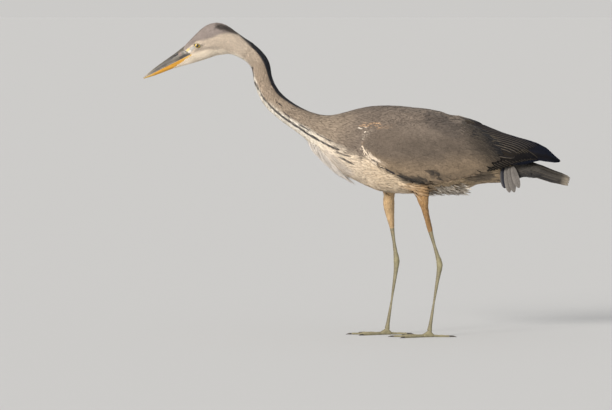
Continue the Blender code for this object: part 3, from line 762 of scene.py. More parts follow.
def unwrapped(sites, runFrom, runTo):  # roots' places on the skin, unrolled along the body line
    along, turn = (sites["run"] - runFrom) / (runTo - runFrom), sites["angle"] / (2 * math.pi)
    return np.stack((0.02 + 0.96 * along, 0.02 + 0.96 * turn % 1), 1)


def featherSet(name, surface, sites, shape, lengths, widths, colourOf, places, edgeLight=1.15, droop=0.0,
               jitter=7.0, hold=1.0, lift=(-2.0, 0.6), shade=0.10, roll=2.5, **look):
    # one joined piece of feathers, laid from their roots along the surface in the direction of the coat
    points, normals = sites["points"], sites["normals"]
    count = len(points)
    headings = downward(points, normals, sites["headings"], droop + rng.normal(0, jitter, count))
    lengths = lengths * rng.uniform(0.88, 1.12, count)
    widths = widths * rng.uniform(0.88, 1.12, count)
    paths, ups = drapedPaths(surface, points, headings, lengths, featherShapes[shape]["along"], hold)
    tone = rng.uniform(1 - shade, 1 + shade, (count, 1))
    root, tip = colourOf(paths[:, 0]) * tone, colourOf(paths[:, -1]) * tone
    colours = {"root": root * 0.95, "tip": tip, "edge": np.clip(tip * edgeLight, 0, 0.92)}
    buildFeathers(name, shape, paths, ups, widths, colours, places, lift,
                  roll=rng.normal(0, roll, count), **look)


# ---- head, neck and trunk coat

thighSizes = {"step": (0.0042, 0.0034), "gap": (0.0028, 0.0018), "length": (0.026, 0.016),
              "width": (0.0030, 0.0020), "above": 0.016, "top": 0.306, "overTop": 0.007, "reach": 0.034,
              "inner": 0.012}
coatSizes = {  # metres: rows along and round the body at both ends, then length and width at both ends
    "face": {"run": (0.060, 0.155), "step": (0.00105, 0.0016), "gap": (0.00095, 0.00135),
             "length": (0.0055, 0.0095), "width": (0.0010, 0.0013)},
    "head": {"run": (0.144, 0.240), "step": (0.0016, 0.0025), "gap": (0.00135, 0.0019),
             "length": (0.0092, 0.0140), "width": (0.0013, 0.0019)},
    "neckUpper": {"run": (0.228, 0.405), "step": (0.0030, 0.0037), "gap": (0.0016, 0.0021),
                  "length": (0.015, 0.021), "width": (0.0016, 0.0024)},
    "neckLower": {"run": (0.395, 0.590), "step": (0.0037, 0.0048), "gap": (0.0021, 0.0028),
                  "length": (0.021, 0.032), "width": (0.0022, 0.0032)},
    "under": {"run": (0.560, 0.935), "step": (0.0052, 0.0068), "gap": (0.0032, 0.0040),
              "length": (0.040, 0.036), "width": (0.0036, 0.0042)},
    "back": {"run": (0.560, 0.950), "step": (0.0046, 0.0064), "gap": (0.0029, 0.0046),
             "length": (0.026, 0.046), "width": (0.0034, 0.0070)},
}
eyeSizes = {"radius": 0.0079, "centreY": 0.0122, "openLong": 0.0068, "openHigh": 0.0042, "corner": 1.5,
            "tilt": -20.0, "pupil": 0.0030, "iris": 0.0064, "socket": 0.0097, "clear": 1.30,
            "cornea": 0.35 * mm}
eyeTurn = math.cos(math.radians(eyeSizes["tilt"])), math.sin(math.radians(eyeSizes["tilt"]))


def between(sites, part, key):  # a size that changes evenly along its stretch of the body
    return np.interp(sites["run"], coatSizes[part]["run"], coatSizes[part][key])


faceOut = 6  # the face's own features lie at least this far from the middle plane, in mm


def onSide(points, out):  # at least this far from the middle plane, in mm
    return np.abs(points[:, 1]) > out * mm


def eyeReach(points):  # 1 on the rim of the eye's opening, growing outwards, in side view
    c, s = eyeTurn
    u, v = points[:, 0] - eyeSpot.x, points[:, 2] - eyeSpot.z
    power = eyeSizes["corner"]  # under 2 for an opening that is drawn out to its two corners
    return (np.abs((u * c + v * s) / eyeSizes["openLong"]) ** power
            + np.abs((v * c - u * s) / eyeSizes["openHigh"]) ** power) ** (1 / power)


loreStrokes = ((((0.098, 0.0080), (0.124, 0.0072)), 0.0060, 0.0012),  # run and height, width and softness
               (((0.092, 0.0036), (0.116, 0.0026)), 0.0030, 0.0010))


def bareFace(points):  # 1 on the bare skin of the lores and round the eye
    run, height, _ = linePlace(bodyLine, points)
    lores = np.max([stroke(run, height, *form) for form in loreStrokes], axis=0)
    return np.maximum(lores, 1 - smoothStep(eyeReach(points), 1.20, 1.38)) * onSide(points, faceOut)


def coatPart(part, surface, **options):
    sizes = coatSizes[part]
    return ringSites(bodyLine, surface, *sizes["run"], sizes["step"], sizes["gap"], **options)


def featheredFace(points):  # the head, and the rear of the lower bill under the cheek's edge
    t, h = billPlace(points)
    cheek = near(lowerBillNode, points, 1 * mm) & (h < malarHeight(t) + rng.normal(0.3, 0.3, len(t)) * mm)
    return (near(headNode, points, 1 * mm) | cheek) & (bareFace(points) < 0.5)


faceCoat = {"outside": 0.045, "eyeNear": (1.4, 2.6), "shorter": (0.55, 1), "tries": (1.1, 0.9, 0.7, 0.5),
            "cut": 0.8, "least": 0.3}
for part in ("face", "head"):
    sites = coatPart(part, faceSurface, outside=faceCoat["outside"])
    sites = chosen(sites, featheredFace(sites[:, :3]))
    lengths = between(sites, part, "length")
    least = faceCoat["least"] * lengths
    lengths = lengths * np.interp(eyeReach(sites["points"]), faceCoat["eyeNear"], faceCoat["shorter"])
    for share in faceCoat["tries"]:  # none lies over the eye or its lids
        over = eyeReach(sites["points"] + sites["headings"] * (lengths * share)[:, None]) < eyeSizes["clear"]
        over = over & onSide(sites["points"], faceOut)
        lengths = np.where(over, lengths * share * faceCoat["cut"], lengths)
    long = lengths > least
    sites, lengths = {key: value[long] for key, value in sites.items()}, lengths[long]
    featherSet(part + "Coat", faceSurface, sites, "hair", lengths, between(sites, part, "width"),
               bodyColour, unwrapped(sites, 0.05, 0.25),
               lift=(np.interp(sites["run"], (0.10, 0.13), (-0.3, -0.9)), 0.15), shade=0.11, jitter=9,
               camber=0.25, thick=0.15, roll=6)

for part in ("neckUpper", "neckLower"):
    sites = chosen(coatPart(part, bodySurface))
    first, last = coatSizes[part]["run"]
    featherSet(part.replace("neck", "neckCoat"), bodySurface, sites, "hair", between(sites, part, "length"),
               between(sites, part, "width"), bodyColour, unwrapped(sites, first - 0.01, last + 0.01),
               lift=(-2.0, 0.18), shade=0.10, jitter=5, camber=0.12, thick=0.15, roll=2.5)

underCoat = {"wingNear": 1.8 * mm, "thighNear": 1.5 * mm, "up": 0.55, "reach": 0.6, "wingAhead": 5 * mm,
             "wingCut": 0.42, "cutTo": 0.75, "thighAhead": 8 * mm, "thighCut": 0.5, "above": 2 * mm}
flankSurface = evenSurface(bodyParts + thighNodes, "body")
sites = coatPart("under", flankSurface)
onWing = near(wingNode, sites[:, :3], underCoat["wingNear"])
onThigh = near(thighNode, sites[:, :3], underCoat["thighNear"]) & (sites[:, 2] < thighSizes["top"])
sites = chosen(sites, ~onWing & ~onThigh & (sites[:, 5] < underCoat["up"]))
lengths = between(sites, "under", "length")
ahead = sites["points"] + sites["headings"] * (lengths * underCoat["reach"])[:, None]
byWing = near(wingNode, ahead, underCoat["wingAhead"]) & (sites["run"] < underCoat["cutTo"])
lengths = np.where(byWing, underCoat["wingCut"], 1.0) * lengths
ahead = sites["points"] + sites["headings"] * lengths[:, None]
low = ahead[:, 2] < thighSizes["top"] + underCoat["above"]
byThigh = near(thighNode, ahead, underCoat["thighAhead"]) & low
lengths = np.where(byThigh, underCoat["thighCut"], 1.0) * lengths
featherSet("breastCoat", flankSurface, sites, "lance", lengths, between(sites, "under", "width"),
           bodyColour, unwrapped(sites, 0.54, 0.95), lift=(-3.4, 0.4), shade=0.12, jitter=6, hold=0.97,
           camber=0.08, thick=0.2, roll=4)

backMarks = {"scapular": ((0.166, 0.480), (0.190, 0.471), (0.214, 0.455)), "width": 0.020, "soft": 0.011,
             "share": 0.75, "blackFrom": (0.225, 0.262), "streak": 0.16, "streakFrom": (0.6, 0.66)}
backSites = coatPart("back", bodySurface)
onWing = near(wingNode, backSites[:, :3], underCoat["wingNear"])
backSites = chosen(backSites, (backSites[:, 5] > 0.35) & (~onWing | (backSites[:, 5] > underCoat["up"])))


def backColour(points):
    run = linePlace(bodyLine, points)[0]
    streak = np.sin(points[:, 1] * 420 + 3 * np.sin(points[:, 0] * 60))
    streak = streak * smoothStep(run, *backMarks["streakFrom"])
    dark = stroke(points[:, 0], points[:, 2], backMarks["scapular"], backMarks["width"], backMarks["soft"])
    colour = mix(bodyColour(points) * (1 + backMarks["streak"] * streak[:, None]), tints["scapular"],
                 backMarks["share"] * dark * onSide(points, 20))
    colour = np.where(onSide(points, 25)[:, None], wristColour(colour, points), colour)
    return mix(colour, tints["flight"], smoothStep(points[:, 0], *backMarks["blackFrom"]))


featherSet("backCoat", bodySurface, backSites, "lance", between(backSites, "back", "length"),
           between(backSites, "back", "width"), backColour, unwrapped(backSites, 0.53, 0.96),
           lift=(-2.8, 0.3), shade=0.10, jitter=5, edgeLight=1.15, camber=0.06)


# ---- wings

wingSizes = {"slope": -24.0, "reach": 0.64, "step": (0.0033, 0.0086), "gap": (0.0030, 0.0068),
             "length": (0.012, 0.038), "width": (0.0041, 0.0100), "across": (-0.22, 0.12), "jitter": 0.18,
             "first": 0.006, "rearSlant": 0.02, "lowRear": (0.50, 0.30), "droop": (26, 12),
             "wristDroop": 34}
quillRows = {  # roots and tips as shares of the wing's length and height, lowest feather first
    "primaries": {"roots": ((0.50, 0.30), (0.56, 0.55), (0.60, 0.80)),
                  "tips": ((0.84, 0.10), (0.985, 0.5), (0.93, 0.84)),
                  "count": 14, "width": 0.021, "layer": 4.4, "bow": 0.004, "colour": ("flight", "flight"),
                  "edge": "blueGrey", "rim": (0.0, 0.0), "sunk": -1.5},
    "secondaries": {"roots": ((0.28, 0.50), (0.44, 0.62), (0.56, 0.74)),
                    "tips": ((0.52, 0.02), (0.70, 0.02), (0.87, 0.22)),
                    "count": 26, "width": 0.015, "layer": 3.0, "bow": 0.008,
                    "colour": ("secondary", "flight"), "edge": "secondary", "rim": (1.0, 0.35),
                    "sunk": -1.5},
    "tertials": {"roots": ((0.46, 0.50), (0.48, 0.72), (0.50, 0.92)),
                 "tips": ((0.76, 0.34), (0.84, 0.66), (0.90, 0.95)),
                 "count": 13, "width": 0.021, "layer": 2.1, "bow": 0.006, "colour": ("secondary", "flight"),
                 "edge": "blueGrey", "rim": (0.8, 0.0), "sunk": -5.0},
}
quillForm = {"inset": 0.9, "halfShown": 0.42, "lean": (0.3, 0.9, 0.5), "camber": 0.10, "thick": 0.5,
             "roll": 6.0, "lift": 0.3, "fringe": 0.9, "rootShare": 0.4, "rootTint": 0.7,
             "shade": (0.85, 1.15)}
flightLook = {"thick": 0.5, "material": "flight", "slotName": "flight_dark"}


def wingPoint(a, b):
    x = wingStart + a * wingLength
    low, top = wingEdges(x)
    return x, low + b * (top - low)


def sideHit(side, x, z):  # the wing's outer face at this place in side view
    return cast(wingSurface[side], (x, sides[side] * 0.3, z), (0, -sides[side], 0))


def wingSites(side):  # staggered rows of small feathers, closer at the wrist
    sites, u, row = [], 0.0, 0
    slope = math.radians(wingSizes["slope"])
    c, s = math.cos(slope), math.sin(slope)
    origin = Vector((wingStart, 0, wingOutline["top"].max()))
    wobble = wingSizes["jitter"]
    while u < wingLength:
        t = min(u / wingLength / wingSizes["reach"], 1)
        step, gap = (np.interp(t, (0, 1), wingSizes[key]) for key in ("step", "gap"))
        v = wingSizes["across"][0] + row % 2 * gap / 2
        while v < wingSizes["across"][1]:
            du, dv = rng.uniform(-wobble, wobble) * step, rng.uniform(-wobble, wobble) * gap
            x, z = origin.x + (u + du) * c - (v + dv) * s, origin.z + (u + du) * s + (v + dv) * c
            v += gap
            if not wingStart < x < wingEnd:
                continue
            low, top = wingEdges(x)
            a, b = (x - wingStart) / wingLength, (z - low) / (top - low)
            lowRear, slant = wingSizes["lowRear"]
            rear = min(wingSizes["reach"] - wingSizes["rearSlant"] * b, lowRear + slant * b)
            if not 0 < b < 1 or not wingSizes["first"] <= a <= rear:
                continue
            hit, normal = sideHit(side, x, z)
            if hit is not None:
                sites.append((*hit, *normal, 1, 0, 0, a, b))
        u += step
        row += 1
    return chosen(np.array(sites))


def quillPaths(side, name):  # one row of long feathers, each partly over the one below it
    sizes, form = quillRows[name], featherShapes["quill"]
    paths, normals = np.zeros((2, sizes["count"], len(form["along"]), 3))
    for i, t in enumerate(np.arange(sizes["count"]) / (sizes["count"] - 1)):
        first, last = ([np.interp(t * 2, (0, 1, 2), [spot[axis] for spot in sizes[end]]) for axis in (0, 1)]
                       for end in ("roots", "tips"))
        (rootX, rootZ), (tipX, tipZ) = wingPoint(*first), wingPoint(*last)
        inset = (sizes["layer"] - quillForm["inset"] * t) * mm
        y, normal = None, Vector((0, sides[side], 0))
        for k, (share, wide) in enumerate(zip(form["along"], form["width"])):
            x = rootX + (tipX - rootX) * share
            z = rootZ + (tipZ - rootZ) * share + sizes["bow"] * math.sin(math.pi * share)
            topEdge = wingEdges(x)[1]
            z = min(z, topEdge - quillForm["halfShown"] * sizes["width"] * wide)
            hit, found = sideHit(side, x, z)
            if hit is not None:
                y, normal = hit.y, found
            paths[i, k] = (x, y - sides[side] * inset, z)
            normals[i, k] = np.array((normal.x, sides[side], normal.z)) * quillForm["lean"]
    return paths, unit(normals)


def buildQuills(side, name, replaced=()):
    sizes = quillRows[name]
    count = sizes["count"]
    paths, normals = quillPaths(side, name)
    tone = rng.uniform(*quillForm["shade"], (count, 1))
    first, last = (tints[name] for name in sizes["colour"])
    tint = mix(first, last, np.linspace(0, 1, count)) * tone
    root = mix(tint, tints["covert"] * quillForm["rootTint"], np.full(count, quillForm["rootShare"]))
    colours = {"root": root, "tip": tint, "edge": tints[sizes["edge"]] * tone, "fringe": quillForm["fringe"]}
    places = np.stack((0.04 + 0.9 * (paths[:, 0, 0] - wingStart) / wingLength,
                       0.05 + 0.9 * (paths[:, 0, 2] - 0.3) / 0.2), 1)
    buildFeathers(name + side, "quill", paths, normals, sizes["width"], colours, places,
                  lift=(sizes["sunk"], quillForm["lift"]), camber=quillForm["camber"],
                  roll=quillForm["roll"] * sides[side], replaced=replaced,
                  rim=np.linspace(*sizes["rim"], count), **flightLook)


scapularSizes = {"count": 19, "rootX": (0.190, 0.206), "tipX": (0.410, 0.325), "wide": (0.036, 0.010),
                 "width": 0.019, "drop": 0.015, "under": 0.0028, "sunk": 0.006, "onWing": (0.05, 0.35),
                 "above": 0.6, "camber": 0.14, "rim": 0.5, "outer": 0.7, "edge": 1.4}


def rowPlaces(count, height):  # places side by side on the unwrapped skin
    return np.stack((np.linspace(0.05, 0.95, count), np.full(count, height)), 1)


def buildScapulars():  # long feathers from the back, which close the gap between the two folded wings
    count = scapularSizes["count"]
    t = np.array(featherShapes["quill"]["along"])
    spread = np.linspace(-1, 1, count)
    paths, normals = np.zeros((2, count, len(t), 3))
    for i, q in enumerate(spread):
        x = np.interp(t, (0, 1), [np.interp(abs(q), (0, 1), scapularSizes[key]) for key in ("rootX", "tipX")])
        y = q * np.interp(t, (0, 1), scapularSizes["wide"])
        hits = [[cast(surface, (x[k], y[k], scapularSizes["above"]), (0, 0, -1))[0] for k in range(len(t))]
                for surface in (bodySurface, wingSurface["Left"], wingSurface["Right"])]
        back = np.max([[hit.z if hit else 0 for hit in row] for row in hits], axis=0)
        level = smoothStep(t, *scapularSizes["onWing"])
        roof = back * (1 - level) + np.maximum(wingEdges(x)[1], back) * level
        under = scapularSizes["under"] + scapularSizes["sunk"] * (1 - t) ** 2
        under = under + scapularSizes["drop"] * q * q * t
        paths[i] = np.stack((x, y, roof - under), 1)
        normals[i] = (0.15, 0.9 * q, 1)
    tone = rng.uniform(*quillForm["shade"], (count, 1))
    outer = np.abs(spread)
    tint = mix(tints["flight"], tints["secondary"], outer * scapularSizes["outer"]) * tone
    root = mix(tint, tints["covert"], np.full(count, quillForm["rootShare"]))
    buildFeathers("longScapulars", "quill", paths, unit(normals), scapularSizes["width"],
                  {"root": root, "tip": tint, "edge": tint * scapularSizes["edge"]}, rowPlaces(count, 0.7),
                  lift=(-1.0, 0.0), camber=scapularSizes["camber"], rim=scapularSizes["rim"] * outer,
                  **flightLook)


buildScapulars()
for side in sides:
    sites = wingSites(side)
    a, b = sites["run"], sites["angle"]
    size = np.clip(a / wingSizes["reach"], 0, 1)
    lengths = np.interp(size + 0.15 * (1 - b), (0, 1), wingSizes["length"])
    wrist = (1 - smoothStep(a, 0.0, 0.10)) * (1 - smoothStep(b, 0.5, 1.0))
    featherSet("wingCoverts" + side, wingSurface[side], sites, "broad", lengths,
               np.interp(size, (0, 1), wingSizes["width"]), wingColour,
               np.stack((0.03 + 0.9 * a, 0.04 + 0.9 * b), 1), edgeLight=1.08,
               droop=np.interp(b, (0, 1), wingSizes["droop"]) + wingSizes["wristDroop"] * wrist, jitter=4,
               lift=(-2.2, 0.28), shade=0.07, material="wing", camber=0.05, rim=0.35)
    buildQuills(side, "primaries", replaced=[nodeOf("flight", side)])
    buildQuills(side, "secondaries")
    buildQuills(side, "tertials")


# ---- tail

tailSizes = {"count": 12, "width": 0.020, "start": 0.346, "length": 0.122, "shorter": 0.05,
             "rootSpread": 0.55, "under": 0.6, "stack": 2.7, "above": 0.6, "pale": 0.84, "outer": 0.85,
             "edge": 1.3}
tailCoat = {"run": (0.885, 0.975), "step": (0.0065, 0.0075), "gap": (0.0042, 0.0048), "length": 0.034,
            "width": 0.0062, "outside": 0.07, "below": (-0.9, -0.1), "share": 0.8, "from": (0.88, 0.92)}


def tailPaths():
    along = featherShapes["quill"]["along"]
    paths, normals = np.zeros((2, tailSizes["count"], len(along), 3))
    low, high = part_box("tail")
    halfWide = (high.y - low.y) / 2 - 0.4 * tailSizes["width"]
    for i, q in enumerate(np.linspace(-1, 1, tailSizes["count"])):
        last = None
        for k, share in enumerate(along):
            x = tailSizes["start"] + tailSizes["length"] * share * (1 - tailSizes["shorter"] * q * q)
            y = q * halfWide * (tailSizes["rootSpread"] + (1 - tailSizes["rootSpread"]) * share)
            hit, normal = cast(tailSurface, (x, y, tailSizes["above"]), (0, 0, -1))
            if hit is not None:
                last = hit.z, normal
            paths[i, k] = (x, y, last[0] - (tailSizes["under"] + tailSizes["stack"] * abs(q)) * mm)
            normals[i, k] = last[1]
    return paths, unit(normals)


def buildTail():
    paths, normals = tailPaths()
    count = len(paths)
    tone = rng.uniform(0.9, 1.1, (count, 1))
    outer = np.abs(np.linspace(-1, 1, count))
    tint = mix(tints["tail"], tints["flank"], tailSizes["outer"] * outer ** 3) * tone
    buildFeathers("tailFeathers", "quill", paths, normals, tailSizes["width"],
                  {"root": tint, "tip": tints["tailTip"] * tone, "edge": tint * tailSizes["edge"]},
                  rowPlaces(count, 0.5), rim=0.25, tipFrom=tailSizes["pale"], lift=(-1.0, 0.0), camber=0.12,
                  replaced=["tail"], **flightLook)


def tailColour(points):
    run, _, share = linePlace(bodyLine, points)
    below = 1 - smoothStep(share, *tailCoat["below"])
    colour = mix(tints["tail"], tints["flank"], tailCoat["share"] * below)
    return mix(bodyColour(points), colour, smoothStep(run, *tailCoat["from"]))


buildTail()
tailRoot = evenSurface(["trunk", "tail"], "root")
tailSites = chosen(ringSites(bodyLine, tailRoot, *tailCoat["run"], tailCoat["step"], tailCoat["gap"],
                             outside=tailCoat["outside"]))
featherSet("tailCoat", tailRoot, tailSites, "lance", tailCoat["length"], tailCoat["width"], tailColour,
           unwrapped(tailSites, 0.87, 1.02), lift=(-2.6, 0.3), hold=0.97, shade=0.12, jitter=6,
           edgeLight=1.15, camber=0.06)


# ---- thighs

def thighLine(side):  # its middle line from the belly down to its lower end
    tree = nodeSurface([nodeOf("thigh", side)])
    low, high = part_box(nodeOf("thigh", side))
    y, step = (low.y + high.y) / 2, 4 * mm
    rows, z = [], high.z - 12 * mm
    while z > low.z + step:
        front = cast(tree, (low.x - 0.05, y, z), (1, 0, 0))[0]
        back = cast(tree, (high.x + 0.05, y, z), (-1, 0, 0))[0]
        if front and back:
            rows.append(((front.x + back.x) / 2, z, (back.x - front.x) / 2))
        z -= step
    lean = (np.array(rows[0]) - np.array(rows[6])) / 6  # carried on up into the flank
    above = [np.array(rows[0]) + lean * k for k in range(int(thighSizes["above"] / step), 0, -1)]
    return evenLine(np.array(above + rows), y)


for side in sides:
    line = thighLine(side)
    surface = evenSurface(["trunk", nodeOf("thigh", side), nodeOf("shank", side)], "root")
    end = float(line["run"][-1])
    sites = ringSites(line, surface, 0.0, end + 2 * mm, thighSizes["step"], thighSizes["gap"])
    reach = np.hypot(sites[:, 0] - np.interp(sites[:, 9], line["run"], line["x"]), sites[:, 1] - line["y"])
    keep = (reach < thighSizes["reach"]) & (sites[:, 2] < thighSizes["top"] + thighSizes["overTop"])
    sites = chosen(sites, keep & (sites[:, 1] * sides[side] > thighSizes["inner"]))
    share = sites["run"] / end
    places = np.stack((0.03 + 0.94 * np.clip(share, 0, 1), 0.03 + 0.94 * sites["angle"] / (2 * math.pi)), 1)
    # the left thigh's coat takes the painted shade of its tint
    featherSet("thighCoat" + side, surface, sites, "lance", np.interp(share, (0, 1), thighSizes["length"]),
               np.interp(share, (0, 1), thighSizes["width"]), lambda points: legTintsLeftShaded[side], places,
               lift=(-1.8, 0.35), shade=0.13, jitter=7, slotName="plumage_pale", camber=0.12, thick=0.18)

# ---- skin under the coat, with the bare face and the eyelids

skinSizes = {
    "headReach": 0.062, "faceReach": 0.030, "eyeReach": 0.017,
    "run": (0.10, 0.115, 0.13, 0.24, 0.40, 0.60, 0.95),
    "depth": (-0.0002, 0.0003, 0.0014, 0.0024, 0.0032, 0.0055, 0.0055),
    "nearEye": (0.0115, 0.0140), "shallower": 0.7, "faceNear": 0.003, "wingNear": 0.007,
    "socketOpen": (1.25, 1.65), "socketAway": (0.0074, 0.0090), "socketDeep": 0.0045,
    "horn": 0.012, "hornNear": 0.0008, "hornDeep": 0.0003, "share": 0.42, "farthest": 0.03,
}
lidSizes = {"points": 64, "end": 0.0088, "spread": 0.0035, "face": (0.0062, 0.0084),
            "out": (0.0068, 0.0084), "skin": (0.0088, 0.0093), "faceSunk": 0.0003, "overBall": 0.0001}
lidRows = (  # reach over the opening, height over the ball in mm, and how far it has moved to the head's skin
    (0.96, -0.8, 0.0), (0.985, 0.12, 0.0), (1.03, 0.38, 0.0), (1.10, 0.46, 0.05), (1.18, 0.34, 0.12),
    (1.24, 0.14, 0.22), (1.31, 0.42, 0.4), (1.42, 0.45, 0.7), (1.55, 0.30, 1.0), (1.72, -0.05, 1.0),
    (1.92, -1.6, 1.0), (1.40, -3.2, 0.6), (1.02, -3.4, 0.0))
faceTints = {"lore": (0.40, 0.385, 0.36), "yellow": (0.68, 0.56, 0.20), "pale": (0.70, 0.64, 0.58),
             "rim": (0.030, 0.026, 0.022), "lid": (0.42, 0.38, 0.30), "gape": (0.07, 0.06, 0.055)}
faceStrokes = {  # run and height, width and softness
    "pale": (((0.098, 0.0035), (0.114, 0.0045)), 0.0025, 0.0020),
    "gape": (((0.090, 0.0025), (0.105, 0.0012), (0.116, -0.0004), (0.130, -0.0030)), 0.0009, 0.0008),
}
yellowSpot = {"middle": (0.1105, 0.0098), "size": (0.0062, 0.0034), "turn": 20}
headSide = nodeSurface(["head"])


def skinDepth(points):  # how far the skin lies under the tips of the coat
    run = linePlace(bodyLine, points)[0]
    away = np.hypot(points[:, 0] - eyeSpot.x, points[:, 2] - eyeSpot.z)
    nearEye = (1 - smoothStep(away, *skinSizes["nearEye"])) * onSide(points, faceOut)
    shallow = np.maximum(bareFace(points), nearEye)
    depth = np.interp(run, skinSizes["run"], skinSizes["depth"]) * (1 - shallow * skinSizes["shallower"])
    socket = 1 - np.maximum(smoothStep(eyeReach(points), *skinSizes["socketOpen"]),
                            smoothStep(away, *skinSizes["socketAway"]))
    return depth + skinSizes["socketDeep"] * socket * onSide(points, faceOut)


def skinColour(points):
    underWing = near(wingNode, points, skinSizes["wingNear"]) & onSide(points, 15)
    colour = np.where(underWing[:, None], wingColour(points), bodyColour(points))
    run, height, _ = linePlace(bodyLine, points)
    reach = eyeReach(points)
    spot = patch(run, height, yellowSpot["middle"], yellowSpot["size"], yellowSpot["turn"])
    for tint, amount in (("lore", smoothStep(bareFace(points), 0.3, 0.7)),
                         ("pale", 0.8 * stroke(run, height, *faceStrokes["pale"]) * onSide(points, 7)),
                         ("yellow", 0.8 * spot * onSide(points, faceOut)),
                         ("lid", 0.9 * (1 - smoothStep(reach, 1.35, 1.7))),
                         ("yellow", 0.35 * (1 - smoothStep(np.abs(reach - 1.26), 0.03, 0.07))),
                         ("rim", 1 - smoothStep(reach, 1.07, 1.15)),
                         ("gape", 0.9 * stroke(run, height, *faceStrokes["gape"]))):
        colour = mix(colour, faceTints[tint], amount)
    return colour


def faceLevel(x, z, sign):  # how far out the head's own side lies at this place
    away = Vector((x - eyeSpot.x, 0, z - eyeSpot.z))
    away *= max(1, eyeSizes["socket"] / away.length)
    hit = cast(headSide, (eyeSpot.x + away.x, sign * 0.05, eyeSpot.z + away.z), (0, -sign, 0))[0]
    return abs(hit.y) if hit else eyeSizes["centreY"]


def lidLevel(skinSide, x, z, sign, raised, out):  # how far out a lid's point lies over the ball, face or skin
    away = math.hypot(x - eyeSpot.x, z - eyeSpot.z)
    ball = eyeSizes["centreY"] + math.sqrt(max(eyeSizes["radius"] ** 2 - away * away, 0))
    face = np.interp(away, lidSizes["face"], (ball, faceLevel(x, z, sign))) - lidSizes["faceSunk"]
    onSkin = np.interp(away, lidSizes["skin"], (0, 1))
    hit = cast(skinSide, (x, sign * 0.05, z), (0, -sign, 0))[0] if onSkin else None
    if hit is not None:
        face += (abs(hit.y) - face) * onSkin
    share = max(out, np.interp(away, lidSizes["out"], (0, 1)) * (raised > -1))
    y = ball * (1 - share) + face * share + raised * mm
    return max(y, ball + lidSizes["overBall"]) if raised > -1 else y


def addLids(bm):  # closed rings of skin that hug each ball and run out under the face's feathers
    skinSide = BVHTree.FromBMesh(bm)
    c, s = eyeTurn
    power = eyeSizes["corner"]
    for sign in sides.values():
        loops = []
        for reach, raised, out in lidRows:
            ring = bmesh.ops.create_circle(bm, segments=lidSizes["points"], radius=1)["verts"]
            for vert in ring:
                size = reach / (abs(vert.co.x) ** power + abs(vert.co.y) ** power) ** (1 / power)
                u, v = vert.co.x * eyeSizes["openLong"] * size, vert.co.y * eyeSizes["openHigh"] * size
                size = min(1, (lidSizes["end"] + (reach - 1.3) * lidSizes["spread"]) / math.hypot(u, v))
                u, v = u * size, v * size
                x, z = eyeSpot.x + u * c - v * s, eyeSpot.z + u * s + v * c
                vert.co = (x, sign * lidLevel(skinSide, x, z, sign, raised, out), z)
            loops.append({edge for vert in ring for edge in vert.link_edges})
        for loop, other in zip(loops, loops[1:] + loops[:1]):
            bmesh.ops.bridge_loops(bm, edges=list(loop | other))


def buildSkin():
    bm = remeshed(bodyParts + thighNodes, "skin")
    for key in ("headReach", "faceReach", "eyeReach"):
        face = [f for f in bm.faces if (f.calc_center_median() - eyeSpot).xz.length < skinSizes[key]]
        edges = list({edge for f in face for edge in f.edges})
        bmesh.ops.subdivide_edges(bm, edges=edges, cuts=1, use_grid_fill=True)
    bm.normal_update()
    inner = BVHTree.FromBMesh(bm)
    co, normals = np.array([v.co for v in bm.verts]), np.array([v.normal for v in bm.verts])
    for vert, place, normal, deep in zip(bm.verts, co, normals, skinDepth(co)):
        place, normal = Vector(place), Vector(normal)
        away = (place - eyeSpot).xz.length
        if away < eyeSizes["socket"] and abs(place.y) > faceOut * mm:  # carried over the ball's socket
            sign = math.copysign(1, place.y)
            place.y, normal = sign * faceLevel(place.x, place.z, sign), Vector((0, sign, 0))
        elif away < skinSizes["headReach"]:
            hit, found = faceSurface.find_nearest(place)[:2]
            if (hit - place).length < skinSizes["faceNear"]:
                place, normal = hit, found
        ahead = place.x < eyeSpot.x - skinSizes["horn"]
        if ahead and headNode.find_nearest(place, skinSizes["hornNear"])[0] is None:
            deep = skinSizes["hornDeep"]  # it runs on a little way under the horn of the bill
        far = inner.ray_cast(place - normal * 0.1 * mm, -normal, skinSizes["farthest"])[3]
        if far is not None and (place - eyeSpot).xz.length > skinSizes["eyeReach"]:
            deep = min(deep, far * skinSizes["share"])
        vert.co = place - normal * deep
    addLids(bm)
    bmesh.ops.recalc_face_normals(bm, faces=bm.faces)
    return bm


def meshOf(name, bm, colourOf=None):
    mesh = bpy.data.meshes.new(name)
    bm.to_mesh(mesh)
    bm.free()
    if colourOf:
        paint(mesh, colourOf(np.array([v.co for v in mesh.vertices])))
    mesh.shade_smooth()
    return mesh


finishPiece("skin", meshOf("skin", buildSkin(), skinColour), materials["skin"],
            bodyParts + thighNodes)


# ---- eyes

irisTints = {"pupil": (0.004, 0.004, 0.005), "inner": (0.30, 0.16, 0.01), "middle": (0.66, 0.42, 0.02),
             "outer": (0.72, 0.51, 0.04), "shade": (0.40, 0.21, 0.02), "ring": (0.012, 0.010, 0.008)}


